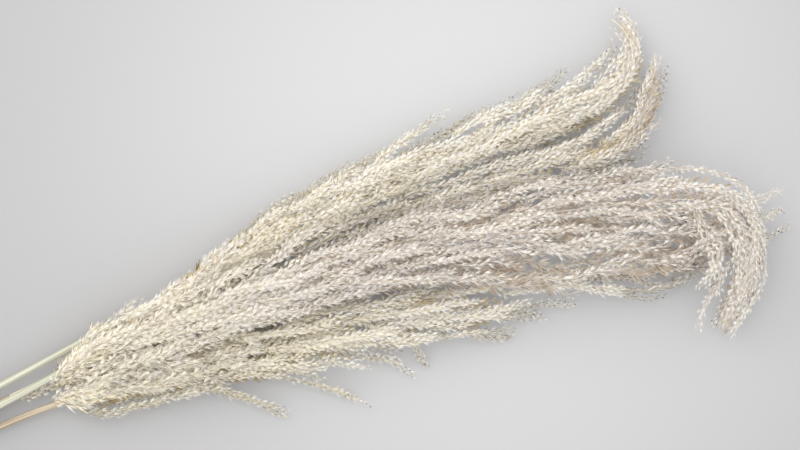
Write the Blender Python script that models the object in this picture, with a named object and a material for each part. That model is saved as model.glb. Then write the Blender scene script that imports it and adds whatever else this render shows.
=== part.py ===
"""A bundle of dried ravenna grass lying on a table: four tied culms, each ending in its plume.

+X runs along the bundle from the cut ends to the tips, +Z is up, and the table is at z = 0.
"""

import math
import random

import bmesh
import bpy
import numpy as np
from mathutils import Vector

MM = 0.001
UP = np.array([0, 0, 1.0])

# Driving dimensions, in millimetres.
CULM_RADIUS_AT_CUT = 3.1
CULM_RADIUS_AT_PLUME = 2.7
CULM_RADIUS_AT_JOINT = 3.5
CULM_SIDES = 8
CULM_STEP = 40.0
JOINT_FROM_CUT = {"1": 30.0, "2": 45.0}
JOINT_HALF_LENGTH = 3.5
RACHIS_RADIUS = 2.6
RACHIS_TIP_RADIUS = 1.7
ROOT_RADIUS = 1.5
RACHIS_SIDES = 5
RACHIS_STEP = 12.0
FACE_GAP = 0.3
CURVE_SAMPLES = 24
LINE_STEP = 2.0

# Tufts: the spikelets of a branch, in rings whose corners stand out by turns and lean towards the tip.
TUFT_STEP = 9.4
TUFT_REACH = 5.7
TUFT_WAIST = 2.0
WAIST_SHARE = 0.55
TUFT_LEAN = 0.75
TUFT_SIDES = 3
LEAST_TUFTS = 3
TUFT_PROFILE = ((0, 0.14, 0.7, 1.0), (0.3, 1.0, 0.85, 0.25))
THICKNESS_RANGE = (0.9, 1.1)
TUFT_TWIST = math.radians(25)
TIP_REACH = 1.4
LEAST_REACH = 1.5
BESIDE_GAP = 0.3
FUSED_POINTS = 3
CLEARANCE = 1.0
CLEAR_REACH = 4.2
LEAST_HEIGHT = 3.0
FINE_STEP = 1.0
FREE_FROM = 20.0
TABLE_SIZE = (1.4, 0.6, 0.1)

BRANCH_STEP = 4.0
BRANCH_SPACING = 12.5
LONGEST_BRANCH = 150.0
SHORTEST_BRANCH = 84.0
LENGTH_RANGE = (0.85, 1.15)
FIRST_ROOT = 3.0
LAST_ROOT_FROM_TIP = 71.4
ROOT_CROWDING = 0.85
PAST_TIP = 6.0
GOLDEN_SHARE = 0.618034
UPWARD_RANGE = (0.6, 1.0)
FLATTENING = 0.6
SWELL = ((0, 0.2, 0.45, 0.8, 1.0, 1.2), (0.5, 0.85, 1.0, 0.9, 0.55, 0.4))
LEAVING_SHARE = 0.5
TIP_TURN_RANGE = (2, 9)
WAVE_HEIGHT = 2.0
WAVE_LENGTH = 17.0
DEPARTURE = 7.5
DEPARTURE_LENGTH = 15.0
SETTLING_ROUNDS = 24
ROOT_HOLD = 18.0
PUSH_APART = 0.6
PUSH_CLEAR = 0.4

TWINE_RADIUS = 1.05
TWINE_SIDES = 6
TWINE_TURNS = 3
TWINE_PITCH = 1.6
TIE_GAP = 0.45
TIE_PLACE = -411.0
TIE_ACROSS = -51.0
CULM_SPACING = 6.6
TURN_POINTS = 4
KNOT_HALF_SIZE = (3.4, 3.0, 1.9)
KNOT_LIFT = 0.8
TAIL_REACHES = (0.0, 5.0, 10.0, 15.0)
TAIL_SLANT = 0.35
TAIL_STEP = 3.0
TAIL_RADIUS = 0.95
TAIL_LIFT = 0.2
TWINE_HALF_THICKNESS = TWINE_RADIUS * math.cos(math.pi / TWINE_SIDES)
BOTTOM_ROW = CULM_RADIUS_AT_CUT + TIE_GAP + 2 * TWINE_HALF_THICKNESS
TOP_ROW = BOTTOM_ROW + CULM_SPACING
LEFT = TIE_ACROSS + CULM_SPACING / 2
RIGHT = TIE_ACROSS - CULM_SPACING / 2

# Each culm's line goes on as the line of its plume. Points are (along, across, up) in millimetres.
LINES = {
    "1": [
        (-517, -61, 11.5), (TIE_PLACE, LEFT, TOP_ROW), (-260, -21, 14), (-117, 5, 16),
        (-45, 18, 18), (27, 30, 20), (89, 42, 22), (152, 53, 23), (214, 62, 24), (275, 69, 25),
        (327, 75, 25), (379, 79, 24), (413, 82, 22), (437, 90, 20), (450, 104, 18), (450, 120, 16),
        (443, 134, 14),
    ],
    "2": [
        (-525, -57.5, 3.4), (TIE_PLACE, LEFT, BOTTOM_ROW), (-262, -29, 8), (-120, -8, 10),
        (-67, 1, 11), (-4, 12, 12), (58, 22, 13), (120, 32, 15), (181, 39, 17), (241, 43, 19),
        (292, 43, 22), (341, 39, 24), (382, 36, 25), (417, 41, 25), (441, 54, 24), (454, 70, 22),
        (466, 89, 19),
    ],
    "3": [
        (-512, -64.5, 3.4), (TIE_PLACE, RIGHT, BOTTOM_ROW), (-264, -40, 8), (-127, -27, 10),
        (-77, -24, 12), (-24, -22, 14), (35, -23, 16), (93, -25, 18), (150, -30, 20), (207, -35, 22),
        (264, -41, 23), (321, -46, 24), (377, -54, 25), (434, -60, 25), (476, -61, 24), (502, -58, 22),
        (525, -57, 20),
    ],
    "4": [
        (-521, -69, 9.8), (TIE_PLACE, RIGHT, TOP_ROW), (-264, -35, 17), (-121, -10, 23),
        (-67, 0, 28), (-6, 9, 36), (55, 13, 43), (115, 15, 49), (174, 16, 54), (232, 14, 58),
        (289, 8, 61), (345, 0, 62), (400, -11, 61), (447, -22, 58), (468, -35, 54), (477, -56, 48),
        (477, -81, 40), (469, -103, 32), (455, -119, 25), (447, -133, 20),
    ],
}
PLUME_START = {"1": 8.0, "2": -120.0, "3": -77.0, "4": -67.0}
BRANCHES = {"1": 24, "2": 24, "3": 33, "4": 40}
SPREAD = {"1": (13.0, 22.0), "2": (22.0, 22.0), "3": (32.0, 32.0), "4": (30.0, 38.0)}
SEEDS = {"1": 11, "2": 23, "3": 57, "4": 41}

# Long branches that leave the outline: (along, across) points from the plume's line to their tips.
SIDE_BRANCHES = {
    "1": [
        [(113, 48), (156, 68), (196, 76), (220, 78)],
        [(153, 56), (193, 77), (229, 86), (256, 90), (275, 102)],
        [(223, 66), (267, 73), (287, 80), (304, 91)],
        [(290, 72), (343, 85), (382, 91)],
        [(345, 78), (381, 86), (420, 87)],
        [(355, 74), (392, 69), (420, 59)],
    ],
    "2": [
        [(285, 46), (339, 61), (372, 58)],
        [(333, 42), (369, 49), (402, 55)],
        [(373, 36), (406, 35), (439, 34)],
        [(364, 34), (398, 23), (423, 9)],
    ],
    "3": [
        [(-56, -24), (-10, -31), (20, -42), (51, -60), (92, -90)],
        [(-30, -24), (24, -34), (69, -48), (112, -68), (139, -88), (161, -107)],
        [(75, -26), (135, -47), (169, -62), (189, -77), (199, -95)],
        [(106, -28), (150, -50), (190, -62), (222, -68)],
        [(165, -33), (193, -48), (210, -66), (213, -91)],
        [(190, -36), (233, -58), (257, -76), (274, -87), (287, -89)],
        [(240, -41), (275, -59), (297, -69), (317, -78)],
        [(330, -50), (363, -70), (392, -86)],
        [(370, -54), (405, -79), (439, -97)],
        [(400, -58), (428, -74), (448, -86)],
    ],
    "4": [
        [(330, 2), (380, 8), (429, 4), (461, -3)],
        [(370, -6), (420, -2), (460, -14), (484, -30)],
        [(420, -16), (452, -36), (460, -70), (449, -105)],
    ],
}
SIDE_TIP_HEIGHT = {"1": 10.0, "2": 15.0, "3": 6.0, "4": 42.0}
SIDE_THICKNESS = 0.85
SIDE_FREEDOM = 0.15

CREAM = (0.62, 0.52, 0.38)
PINK_GREY = (0.50, 0.42, 0.36)
GREEN_IVORY = (0.60, 0.57, 0.38)
STRAW = (0.55, 0.42, 0.24)
TWINE_BROWN = (0.36, 0.25, 0.14)


def distances_along(points):
    steps = np.linalg.norm(np.diff(points, axis=0), axis=1)
    return np.concatenate([[0], np.cumsum(steps)])


def read_at(points, along, places):
    return np.stack([np.interp(places, along, column) for column in points.T], axis=1)


def even_line(points, step):
    """The same line with its points at even steps."""
    along = distances_along(points)
    count = max(3, round(along[-1] / step) + 1)
    return read_at(points, along, np.linspace(0, along[-1], count))


def smooth_line(points, step):
    """A Catmull-Rom curve through the points, read at even steps along it."""
    knots = np.array(points, float)
    knots = np.vstack([2 * knots[0] - knots[1], knots, 2 * knots[-1] - knots[-2]])
    t = np.linspace(0, 1, CURVE_SAMPLES, endpoint=False)[:, None]
    pieces = []
    for a, b, c, d in zip(knots, knots[1:], knots[2:], knots[3:]):
        bend = (2 * a - 5 * b + 4 * c - d) * t**2 + (3 * b - a - 3 * c + d) * t**3
        pieces.append(b + 0.5 * ((c - a) * t + bend))
    return even_line(np.vstack(pieces + [knots[-2][None]]), step)


def unit(vectors):
    lengths = np.linalg.norm(vectors, axis=-1, keepdims=True)
    return vectors / np.maximum(lengths, 1e-6)


def headings(points):
    return unit(np.gradient(points, axis=0))


def softened(points):
    """The line with its inner points moved towards the middle of their neighbours."""
    result = points.copy()
    result[1:-1] = 0.5 * points[1:-1] + 0.25 * (points[:-2] + points[2:])
    return result


WHOLE_LINES = {name: smooth_line(points, LINE_STEP) for name, points in LINES.items()}


def split_line(name):
    """The culm's stretch and the plume's stretch of a line."""
    line = WHOLE_LINES[name]
    first = int(np.argmax(line[:, 0] >= PLUME_START[name]))
    return line[: first + 1], line[first:]


def nearest(points, line):
    """For each point, its distance to the line and the way from the line to it."""
    ways = points[:, None, :] - line[None, :, :]
    lengths = np.sqrt((ways**2).sum(axis=2))
    picks = lengths.argmin(axis=1)
    rows = np.arange(len(points))
    return lengths[rows, picks], ways[rows, picks]


def room(points, own):
    """The radius that stays clear of the other plumes, when each keeps to its side of the middle."""
    near, _ = nearest(points, WHOLE_LINES[own])
    others = [nearest(points, line)[0] for name, line in WHOLE_LINES.items() if name != own]
    return (np.min(others, axis=0) - near - CLEARANCE) / 2


def push_clear(points, own):
    """How far each point moves to keep a branch's width inside its own plume's space."""
    near, from_own = nearest(points, WHOLE_LINES[own])
    push = np.zeros_like(points)
    for name, line in WHOLE_LINES.items():
        if name == own:
            continue
        far, from_other = nearest(points, line)
        short = np.maximum(2 * CLEAR_REACH + CLEARANCE - (far - near), 0)[:, None]
        way = unit(from_other) - unit(from_own)
        push += short * way / np.maximum((way**2).sum(axis=1, keepdims=True), 0.3)
    return push


def push_apart(points, owners):
    """How far each point moves away from the branches that crowd it."""
    ways = points[:, None, :] - points[None, :, :]
    lengths = np.sqrt((ways**2).sum(axis=2))
    crowding = np.clip(1 - lengths / BRANCH_SPACING, 0, None)
    crowding[owners[:, None] == owners[None, :]] = 0
    sizes = crowding.sum(axis=1, keepdims=True)
    push = (ways / np.maximum(lengths, 1)[:, :, None] * crowding[:, :, None]).sum(axis=1)
    return BRANCH_SPACING * push / np.maximum(sizes, 1)


def settled(lines, freedoms, own):
    """The branches eased apart, into their own plume's space and up from the table."""
    axis = even_line(split_line(own)[1], BRANCH_STEP)
    owners = np.repeat(np.arange(len(lines) + 1), [len(line) for line in lines] + [len(axis)])
    held = [np.clip(distances_along(line) / ROOT_HOLD, 0, 1)[:, None] for line in lines]
    for _ in range(SETTLING_ROUNDS):
        every = np.vstack(lines + [axis])
        apart = push_apart(every, owners)
        clear = push_clear(every, own)
        eased = []
        for k, line in enumerate(lines):
            mine = owners == k
            push = PUSH_APART * freedoms[k] * apart[mine] + PUSH_CLEAR * clear[mine]
            line = softened(line + held[k] * push)
            line[:, 2] = np.maximum(line[:, 2], LEAST_HEIGHT)
            eased.append(line)
        lines = eased
    return lines


def ruled_branch(plume, name, root, length, across, upward, rng):
    """A branch leaves the plume's line at a slant, runs along it and turns out at its tip."""
    along = distances_along(plume)
    total = along[-1]
    places = np.arange(0, length, BRANCH_STEP)
    reach = places / length
    spots = np.minimum(root + places, total)
    past = np.maximum(root + places - total, 0)[:, None]
    base = read_at(plume, along, spots)
    way = unit(read_at(headings(plume), along, spots))
    side = unit(np.cross(UP, way))
    up = np.cross(way, side)
    swell = np.interp((root + places) / total, *SWELL)
    leave = 1 - (1 - np.minimum(reach / LEAVING_SHARE, 1)) ** 2
    spread = SPREAD[name][0 if across > 0 else 1]
    offset = spread * swell * leave + rng.uniform(*TIP_TURN_RANGE) * reach**4
    wave = WAVE_HEIGHT * np.sin(places / WAVE_LENGTH + rng.uniform(0, 2 * math.pi))
    wave *= np.minimum(reach * 3, 1)
    departure = DEPARTURE * np.minimum(places / DEPARTURE_LENGTH, 1)
    outward = np.maximum(offset, departure / math.hypot(across, upward * FLATTENING))
    line = base + past * way + side * (across * outward + wave)[:, None]
    return line + up * (upward * FLATTENING * outward)[:, None]


def ruled_branches(name, rng):
    _, plume = split_line(name)
    total = distances_along(plume)[-1]
    count = BRANCHES[name]
    lines = []
    for k in range(count):
        share = k / (count - 1)
        root = FIRST_ROOT + (total - LAST_ROOT_FROM_TIP) * share**ROOT_CROWDING
        length = LONGEST_BRANCH + (SHORTEST_BRANCH - LONGEST_BRANCH) * root / total
        length = min(length * rng.uniform(*LENGTH_RANGE), total - root + PAST_TIP)
        across = 2 * (k * GOLDEN_SHARE % 1) - 1
        upward = math.sqrt(1 - across**2) * (1 if k % 5 in (0, 2, 4) else -1)
        upward *= rng.uniform(*UPWARD_RANGE)
        lines.append(ruled_branch(plume, name, root, length, across, upward, rng))
    return lines


def side_branches(name):
    """Hand-set branches, which sink from the plume's line to the height of their tips."""
    _, plume = split_line(name)
    lines = []
    for points in SIDE_BRANCHES[name]:
        first = plume[np.hypot(*(plume[:, :2] - points[0]).T).argmin()]
        shares = np.linspace(0, 1, len(points))
        heights = first[2] + (SIDE_TIP_HEIGHT[name] - first[2]) * shares
        knots = [first] + [(*point, height) for point, height in zip(points[1:], heights[1:])]
        lines.append(smooth_line(knots, BRANCH_STEP))
    return lines


def ring_frames(centres):
    """Two directions square to the line at each point, carried along without twist."""
    ahead = headings(centres)
    side = np.cross(ahead[0], UP)
    sides = []
    for way in ahead:
        side = unit(side - way * side.dot(way))
        sides.append(side)
    sides = np.array(sides)
    return sides, np.cross(ahead, sides)


def skin(rings, closed=False):
    """A closed mesh from rings of points, in millimetres, ordered from its start to its end."""
    mesh = bmesh.new()
    loops = [[mesh.verts.new(Vector(point) * MM) for point in ring] for ring in rings]
    following = loops[1:] + loops[:1] if closed else loops[1:]
    for ring, onward in zip(loops, following):
        for k in range(len(ring)):
            after = (k + 1) % len(ring)
            # This diagonal goes with the twist of the rings. The other one would cut across the line within.
            mesh.faces.new((ring[k], ring[after], onward[k]))
            mesh.faces.new((ring[after], onward[after], onward[k]))
    if not closed:
        mesh.faces.new(list(reversed(loops[0])))
        mesh.faces.new(loops[-1])
    bmesh.ops.triangulate(mesh, faces=[face for face in mesh.faces if len(face.verts) > 3])
    bmesh.ops.recalc_face_normals(mesh, faces=mesh.faces)
    return mesh


def round_tube(centres, radii, sides):
    across, up = ring_frames(centres)
    angles = np.arange(sides) * 2 * math.pi / sides
    rings = []
    for centre, a, b, radius in zip(centres, across, up, radii):
        rings.append([centre + radius * (a * math.cos(t) + b * math.sin(t)) for t in angles])
    return skin(rings)


def reach_along(fine, along, own, neighbours, thickness):
    """How far the spikelets stand out at each place, clear of the rachis and of all that is near."""
    profile = np.interp(along / along[-1], *TUFT_PROFILE)
    from_rachis, _ = nearest(fine, split_line(own)[1])
    from_neighbours, _ = nearest(fine, neighbours)
    beside = np.minimum(from_rachis - RACHIS_RADIUS, from_neighbours / 2) - BESIDE_GAP
    reach = np.minimum(profile * TUFT_REACH * thickness, np.maximum(beside, LEAST_REACH))
    return np.minimum(reach, room(fine, own))


def tufted_tube(line, own, neighbours, thickness):
    """A branch with its spikelets standing out of it."""
    fine = even_line(line, FINE_STEP)
    along = distances_along(fine)
    reach = reach_along(fine, along, own, neighbours, thickness)
    tight = np.nonzero((room(fine, own) < LEAST_REACH) & (along > FREE_FROM))[0]
    total = along[tight[0]] - TUFT_STEP if len(tight) else along[-1]
    count = int(total // TUFT_STEP)
    if count < LEAST_TUFTS:
        return None
    across, up = ring_frames(fine)
    step = total / (count + TUFT_LEAN)
    rings = []
    for k in range(count + 1):
        ring = []
        for j in range(TUFT_SIDES):
            stands = k > 0 and (j + k) % 3 != 0
            place = min(round((k + (TUFT_LEAN if stands else 0)) * step), len(fine) - 1)
            radius = reach[place] if stands else min(TUFT_WAIST, WAIST_SHARE * reach[place])
            if k == 0:
                radius = ROOT_RADIUS
            if k == count:
                radius = min(radius, TIP_REACH)
            angle = j * 2 * math.pi / TUFT_SIDES + k * TUFT_TWIST
            out = across[place] * math.cos(angle) + up[place] * math.sin(angle)
            ring.append(fine[place] + radius * out)
        rings.append(ring)
    return skin(rings)


def plain_material(name, colour, roughness):
    material = bpy.data.materials.new(name)
    material.use_nodes = True
    shader = material.node_tree.nodes["Principled BSDF"]
    shader.inputs["Base Color"].default_value = (*colour, 1)
    shader.inputs["Roughness"].default_value = roughness
    shader.inputs["Metallic"].default_value = 0
    return material


def new_object(name, mesh, material):
    data = bpy.data.meshes.new(name)
    mesh.to_mesh(data)
    mesh.free()
    data.materials.append(material)
    made = bpy.data.objects.new(name, data)
    bpy.context.scene.collection.objects.link(made)
    return made


def boolean_applied(target, operation, other=None, collection=None):
    """The exact solver loses whole branches where several leave one rachis, so this one is manifold."""
    modifier = target.modifiers.new(operation.title(), "BOOLEAN")
    modifier.operation = operation
    modifier.solver = "MANIFOLD"
    if collection:
        modifier.operand_type = "COLLECTION"
        modifier.collection = collection
    else:
        modifier.object = other
    bpy.context.view_layer.objects.active = target
    bpy.ops.object.modifier_apply(modifier=modifier.name)


def fuse(target, others):
    """One body from the object and the others, which are then removed."""
    joined = bpy.data.collections.new("Joined")
    bpy.context.scene.collection.children.link(joined)
    for other in others:
        joined.objects.link(other)
        bpy.context.scene.collection.objects.unlink(other)
    boolean_applied(target, "UNION", collection=joined)
    for other in others:
        bpy.data.objects.remove(other)
    bpy.data.collections.remove(joined)


def cut_at_table(target):
    """What reaches under the table is cut away, which leaves the flat spots that the bundle rests on."""
    mesh = bmesh.new()
    bmesh.ops.create_cube(mesh, size=1)
    bmesh.ops.scale(mesh, verts=mesh.verts, vec=TABLE_SIZE)
    bmesh.ops.translate(mesh, verts=mesh.verts, vec=(0, 0, -TABLE_SIZE[2] / 2))
    table = new_object("Table", mesh, target.data.materials[0])
    boolean_applied(target, "DIFFERENCE", other=table)
    bpy.data.objects.remove(table)


def keep_outer_skin(target):
    """Only the largest skin stays, so that hollows are filled and loose scraps dropped."""
    mesh = bmesh.new()
    mesh.from_mesh(target.data)
    left = set(mesh.faces)
    skins = []
    while left:
        found = [left.pop()]
        for face in found:
            for edge in face.edges:
                for other in edge.link_faces:
                    if other in left:
                        left.remove(other)
                        found.append(other)
        skins.append(found)
    skins.sort(key=len)
    loose = [face for one in skins[:-1] for face in one]
    bmesh.ops.delete(mesh, geom=loose, context="FACES")
    mesh.to_mesh(target.data)
    mesh.free()


def add_culm(name, material):
    line, _ = split_line(name)
    along = distances_along(line)
    end = along[-1] - FACE_GAP
    places = np.linspace(0, end, int(end / CULM_STEP) + 1)
    swollen = JOINT_FROM_CUT.get(name)
    if swollen:
        places = places[np.abs(places - swollen) > 2 * JOINT_HALF_LENGTH]
        joint = swollen + np.array([-JOINT_HALF_LENGTH, 0, JOINT_HALF_LENGTH])
        places = np.sort(np.concatenate([places, joint]))
    radii = np.interp(places, [0, end], [CULM_RADIUS_AT_CUT, CULM_RADIUS_AT_PLUME])
    radii[places == swollen] = CULM_RADIUS_AT_JOINT
    tube = round_tube(read_at(line, along, places), radii, CULM_SIDES)
    return new_object("culm_" + name, tube, material)


def add_plume(name, material):
    _, plume = split_line(name)
    rng = random.Random(SEEDS[name])
    along = distances_along(plume)
    places = np.linspace(0, along[-1], int(along[-1] / RACHIS_STEP) + 1)
    radii = np.interp(places, [0, along[-1]], [RACHIS_RADIUS, RACHIS_TIP_RADIUS])
    tube = round_tube(read_at(plume, along, places), radii, RACHIS_SIDES)
    rachis = new_object("plume_" + name, tube, material)
    ruled = ruled_branches(name, rng)
    hand_set = side_branches(name)
    freedoms = [1.0] * len(ruled) + [SIDE_FREEDOM] * len(hand_set)
    lines = settled(ruled + hand_set, freedoms, name)
    branches = []
    for k, line in enumerate(lines):
        thickness = rng.uniform(*THICKNESS_RANGE) if k < len(ruled) else SIDE_THICKNESS
        neighbours = np.vstack([other[FUSED_POINTS:] for other in lines if other is not line])
        mesh = tufted_tube(line, name, neighbours, thickness)
        if mesh:
            branches.append(new_object(f"branch_{name}_{k}", mesh, material))
    fuse(rachis, branches)
    cut_at_table(rachis)
    keep_outer_skin(rachis)
    return rachis


def tie_directions():
    """Along the bundle and across it, level, where the twine is wound."""
    ways = []
    for line in WHOLE_LINES.values():
        place = int(np.argmax(line[:, 0] >= TIE_PLACE))
        ways.append(headings(line)[place])
    along = unit(np.array([*np.mean(ways, axis=0)[:2], 0]))
    return along, np.cross(UP, along)


def twine_turn(shift):
    """One turn of twine round the four culms, shifted along them."""
    along, across = tie_directions()
    middle = np.array([TIE_PLACE, TIE_ACROSS, (BOTTOM_ROW + TOP_ROW) / 2]) + shift * along
    reach = CULM_RADIUS_AT_CUT + TIE_GAP + TWINE_HALF_THICKNESS
    angles = [(k + 0.5) * 2 * math.pi / TWINE_SIDES for k in range(TWINE_SIDES)]
    rings = []
    for corner in range(4):
        towards = math.pi / 4 + corner * math.pi / 2
        side = across * math.copysign(1, math.cos(towards))
        height = UP * math.copysign(1, math.sin(towards))
        culm = middle + (side + height) * CULM_SPACING / 2
        for turn in np.linspace(-math.pi / 4, math.pi / 4, TURN_POINTS):
            out = across * math.cos(towards + turn) + UP * math.sin(towards + turn)
            centre = culm + reach * out
            spokes = [out * math.cos(a) + along * math.sin(a) for a in angles]
            rings.append([centre + TWINE_RADIUS * spoke for spoke in spokes])
    return skin(rings, closed=True)


def twine_knot(place):
    along, across = tie_directions()
    sizes = np.array(KNOT_HALF_SIZE)[:, None] * np.array([along, across, UP])
    knot = bmesh.new()
    bmesh.ops.create_icosphere(knot, subdivisions=2, radius=1)
    for vert in knot.verts:
        vert.co = Vector(place + np.array(vert.co) @ sizes) * MM
    return knot


def twine_tail(place, way, height):
    """One short end of the twine, from the knot down to the given height."""
    along, across = tie_directions()
    slant = way * (along + across * TAIL_SLANT)
    centres = smooth_line([place + slant * reach for reach in TAIL_REACHES], TAIL_STEP)
    centres[:, 2] = np.linspace(place[2], height, len(centres))
    return round_tube(centres, [TAIL_RADIUS] * len(centres), TWINE_SIDES)


def add_tie(material):
    """Three turns side by side, a knot on top and the two short ends of the twine."""
    top = TOP_ROW + CULM_RADIUS_AT_CUT + TIE_GAP + TWINE_HALF_THICKNESS
    knot_place = np.array([TIE_PLACE, TIE_ACROSS, top + KNOT_LIFT])
    meshes = [twine_turn((k - (TWINE_TURNS - 1) / 2) * TWINE_PITCH) for k in range(TWINE_TURNS)]
    meshes.append(twine_knot(knot_place))
    meshes += [twine_tail(knot_place, way, top + TAIL_LIFT) for way in (1, -1)]
    pieces = [new_object("tie", mesh, material) for mesh in meshes]
    fuse(pieces[0], pieces[1:])
    keep_outer_skin(pieces[0])
    return pieces[0]


def main():
    for old in list(bpy.data.objects):
        bpy.data.objects.remove(old)
    green = plain_material("green_culm", GREEN_IVORY, 0.45)
    straw = plain_material("straw_culm", STRAW, 0.5)
    cream = plain_material("cream_plume", CREAM, 0.9)
    pink = plain_material("pink_grey_plume", PINK_GREY, 0.9)
    for name in LINES:
        add_culm(name, straw if name in "23" else green)
        add_plume(name, pink if name == "4" else cream)
    add_tie(plain_material("twine", TWINE_BROWN, 0.85))


main()
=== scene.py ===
# %% [markdown]
# A bundle of dried ravenna grass, cell by cell
#
# The real object is four dry culms, tied with twine near their cut ends. Each ends in a plume: a thin rachis,
# long branches that lie along it like furry ropes, and thousands of small spikelets wrapped in silky hair.
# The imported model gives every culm, plume and tie its true place. This lesson dresses them: it keeps each
# part's form and place and makes the fine surface that the eye reads as grass.

# %% Load the fixed frame
import math
import random

import bmesh
import bpy
import numpy as np
from mathutils import Matrix, Vector


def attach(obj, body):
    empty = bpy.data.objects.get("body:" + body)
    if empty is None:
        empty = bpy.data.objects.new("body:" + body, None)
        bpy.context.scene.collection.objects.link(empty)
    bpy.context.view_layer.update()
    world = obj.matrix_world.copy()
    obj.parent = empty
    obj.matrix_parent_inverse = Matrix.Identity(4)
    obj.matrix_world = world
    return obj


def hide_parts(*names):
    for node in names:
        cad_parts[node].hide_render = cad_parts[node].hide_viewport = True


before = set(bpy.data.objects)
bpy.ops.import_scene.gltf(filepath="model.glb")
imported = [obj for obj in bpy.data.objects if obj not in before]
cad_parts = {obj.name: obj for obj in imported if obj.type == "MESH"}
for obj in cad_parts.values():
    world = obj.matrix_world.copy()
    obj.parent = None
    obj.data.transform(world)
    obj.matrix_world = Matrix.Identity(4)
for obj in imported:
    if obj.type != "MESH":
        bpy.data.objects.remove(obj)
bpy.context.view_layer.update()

MM = 0.001
UP = np.array([0, 0, 1.0])
print("nodes:", ", ".join(sorted(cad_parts)))

# %% [markdown]
# Every plume hangs on one smooth line that starts at its culm's cut end. The points below are those of the
# construction, in millimetres: along the bundle, across it and up from the table. A Catmull-Rom curve passes
# through all of its points, so a list of them is the easiest way to describe a stem that grew.

# %% The lines of the four culms and their plumes
TIE_PLACE = -411.0
TIE_ACROSS = -51.0
CULM_SPACING = 6.6
CULM_RADIUS_AT_CUT = 3.1
CULM_RADIUS_AT_PLUME = 2.7
TWINE_RADIUS = 1.05
TWINE_HALF_THICKNESS = TWINE_RADIUS * math.cos(math.pi / 6)
TIE_GAP = 0.45
BOTTOM_ROW = CULM_RADIUS_AT_CUT + TIE_GAP + 2 * TWINE_HALF_THICKNESS
TOP_ROW = BOTTOM_ROW + CULM_SPACING
LEFT = TIE_ACROSS + CULM_SPACING / 2
RIGHT = TIE_ACROSS - CULM_SPACING / 2
LINES = {
    "1": [
        (-517, -61, 11.5), (TIE_PLACE, LEFT, TOP_ROW), (-260, -21, 14), (-117, 5, 16),
        (-45, 18, 18), (27, 30, 20), (89, 42, 22), (152, 53, 23), (214, 62, 24), (275, 69, 25),
        (327, 75, 25), (379, 79, 24), (413, 82, 22), (437, 90, 20), (450, 104, 18), (450, 120, 16),
        (443, 134, 14),
    ],
    "2": [
        (-525, -57.5, 3.4), (TIE_PLACE, LEFT, BOTTOM_ROW), (-262, -29, 8), (-120, -8, 10),
        (-67, 1, 11), (-4, 12, 12), (58, 22, 13), (120, 32, 15), (181, 39, 17), (241, 43, 19),
        (292, 43, 22), (341, 39, 24), (382, 36, 25), (417, 41, 25), (441, 54, 24), (454, 70, 22),
        (466, 89, 19),
    ],
    "3": [
        (-512, -64.5, 3.4), (TIE_PLACE, RIGHT, BOTTOM_ROW), (-264, -40, 8), (-127, -27, 10),
        (-77, -24, 12), (-24, -22, 14), (35, -23, 16), (93, -25, 18), (150, -30, 20), (207, -35, 22),
        (264, -41, 23), (321, -46, 24), (377, -54, 25), (434, -60, 25), (476, -61, 24), (502, -58, 22),
        (525, -57, 20),
    ],
    "4": [
        (-521, -69, 9.8), (TIE_PLACE, RIGHT, TOP_ROW), (-264, -35, 17), (-121, -10, 23),
        (-67, 0, 28), (-6, 9, 36), (55, 13, 43), (115, 15, 49), (174, 16, 54), (232, 14, 58),
        (289, 8, 61), (345, 0, 62), (400, -11, 61), (447, -22, 58), (468, -35, 54), (477, -56, 48),
        (477, -81, 40), (469, -103, 32), (455, -119, 25), (447, -133, 20),
    ],
}
PLUME_START = {"1": 8.0, "2": -120.0, "3": -77.0, "4": -67.0}
BRANCHES = {"1": 24, "2": 24, "3": 33, "4": 40}
SPREAD = {"1": (13.0, 22.0), "2": (22.0, 22.0), "3": (32.0, 32.0), "4": (30.0, 38.0)}
SEEDS = {"1": 11, "2": 23, "3": 57, "4": 41}
SIDE_BRANCHES = {
    "1": [
        [(113, 48), (156, 68), (196, 76), (220, 78)],
        [(153, 56), (193, 77), (229, 86), (256, 90), (275, 102)],
        [(223, 66), (267, 73), (287, 80), (304, 91)],
        [(290, 72), (343, 85), (382, 91)],
        [(345, 78), (381, 86), (420, 87)],
        [(355, 74), (392, 69), (420, 59)],
    ],
    "2": [
        [(285, 46), (339, 61), (372, 58)],
        [(333, 42), (369, 49), (402, 55)],
        [(373, 36), (406, 35), (439, 34)],
        [(364, 34), (398, 23), (423, 9)],
    ],
    "3": [
        [(-56, -24), (-10, -31), (20, -42), (51, -60), (92, -90)],
        [(-30, -24), (24, -34), (69, -48), (112, -68), (139, -88), (161, -107)],
        [(75, -26), (135, -47), (169, -62), (189, -77), (199, -95)],
        [(106, -28), (150, -50), (190, -62), (222, -68)],
        [(165, -33), (193, -48), (210, -66), (213, -91)],
        [(190, -36), (233, -58), (257, -76), (274, -87), (287, -89)],
        [(240, -41), (275, -59), (297, -69), (317, -78)],
        [(330, -50), (363, -70), (392, -86)],
        [(370, -54), (405, -79), (439, -97)],
        [(400, -58), (428, -74), (448, -86)],
    ],
    "4": [
        [(330, 2), (380, 8), (429, 4), (461, -3)],
        [(370, -6), (420, -2), (460, -14), (484, -30)],
        [(420, -16), (452, -36), (460, -70), (449, -105)],
    ],
}
SIDE_TIP_HEIGHT = {"1": 10.0, "2": 15.0, "3": 6.0, "4": 42.0}
print("branches:", sum(BRANCHES.values()) + sum(map(len, SIDE_BRANCHES.values())))

# %% [markdown]
# Curves come first, as plain lists of points. With a line read at even steps, its headings and two directions
# square to it, anything can be placed along it: a ring of a tube, a strand of twine, a spikelet.

# %% Reading and smoothing lines
CURVE_SAMPLES = 24
LINE_STEP = 2.0


def distances_along(points):
    steps = np.linalg.norm(np.diff(points, axis=0), axis=1)
    return np.concatenate([[0], np.cumsum(steps)])


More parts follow.
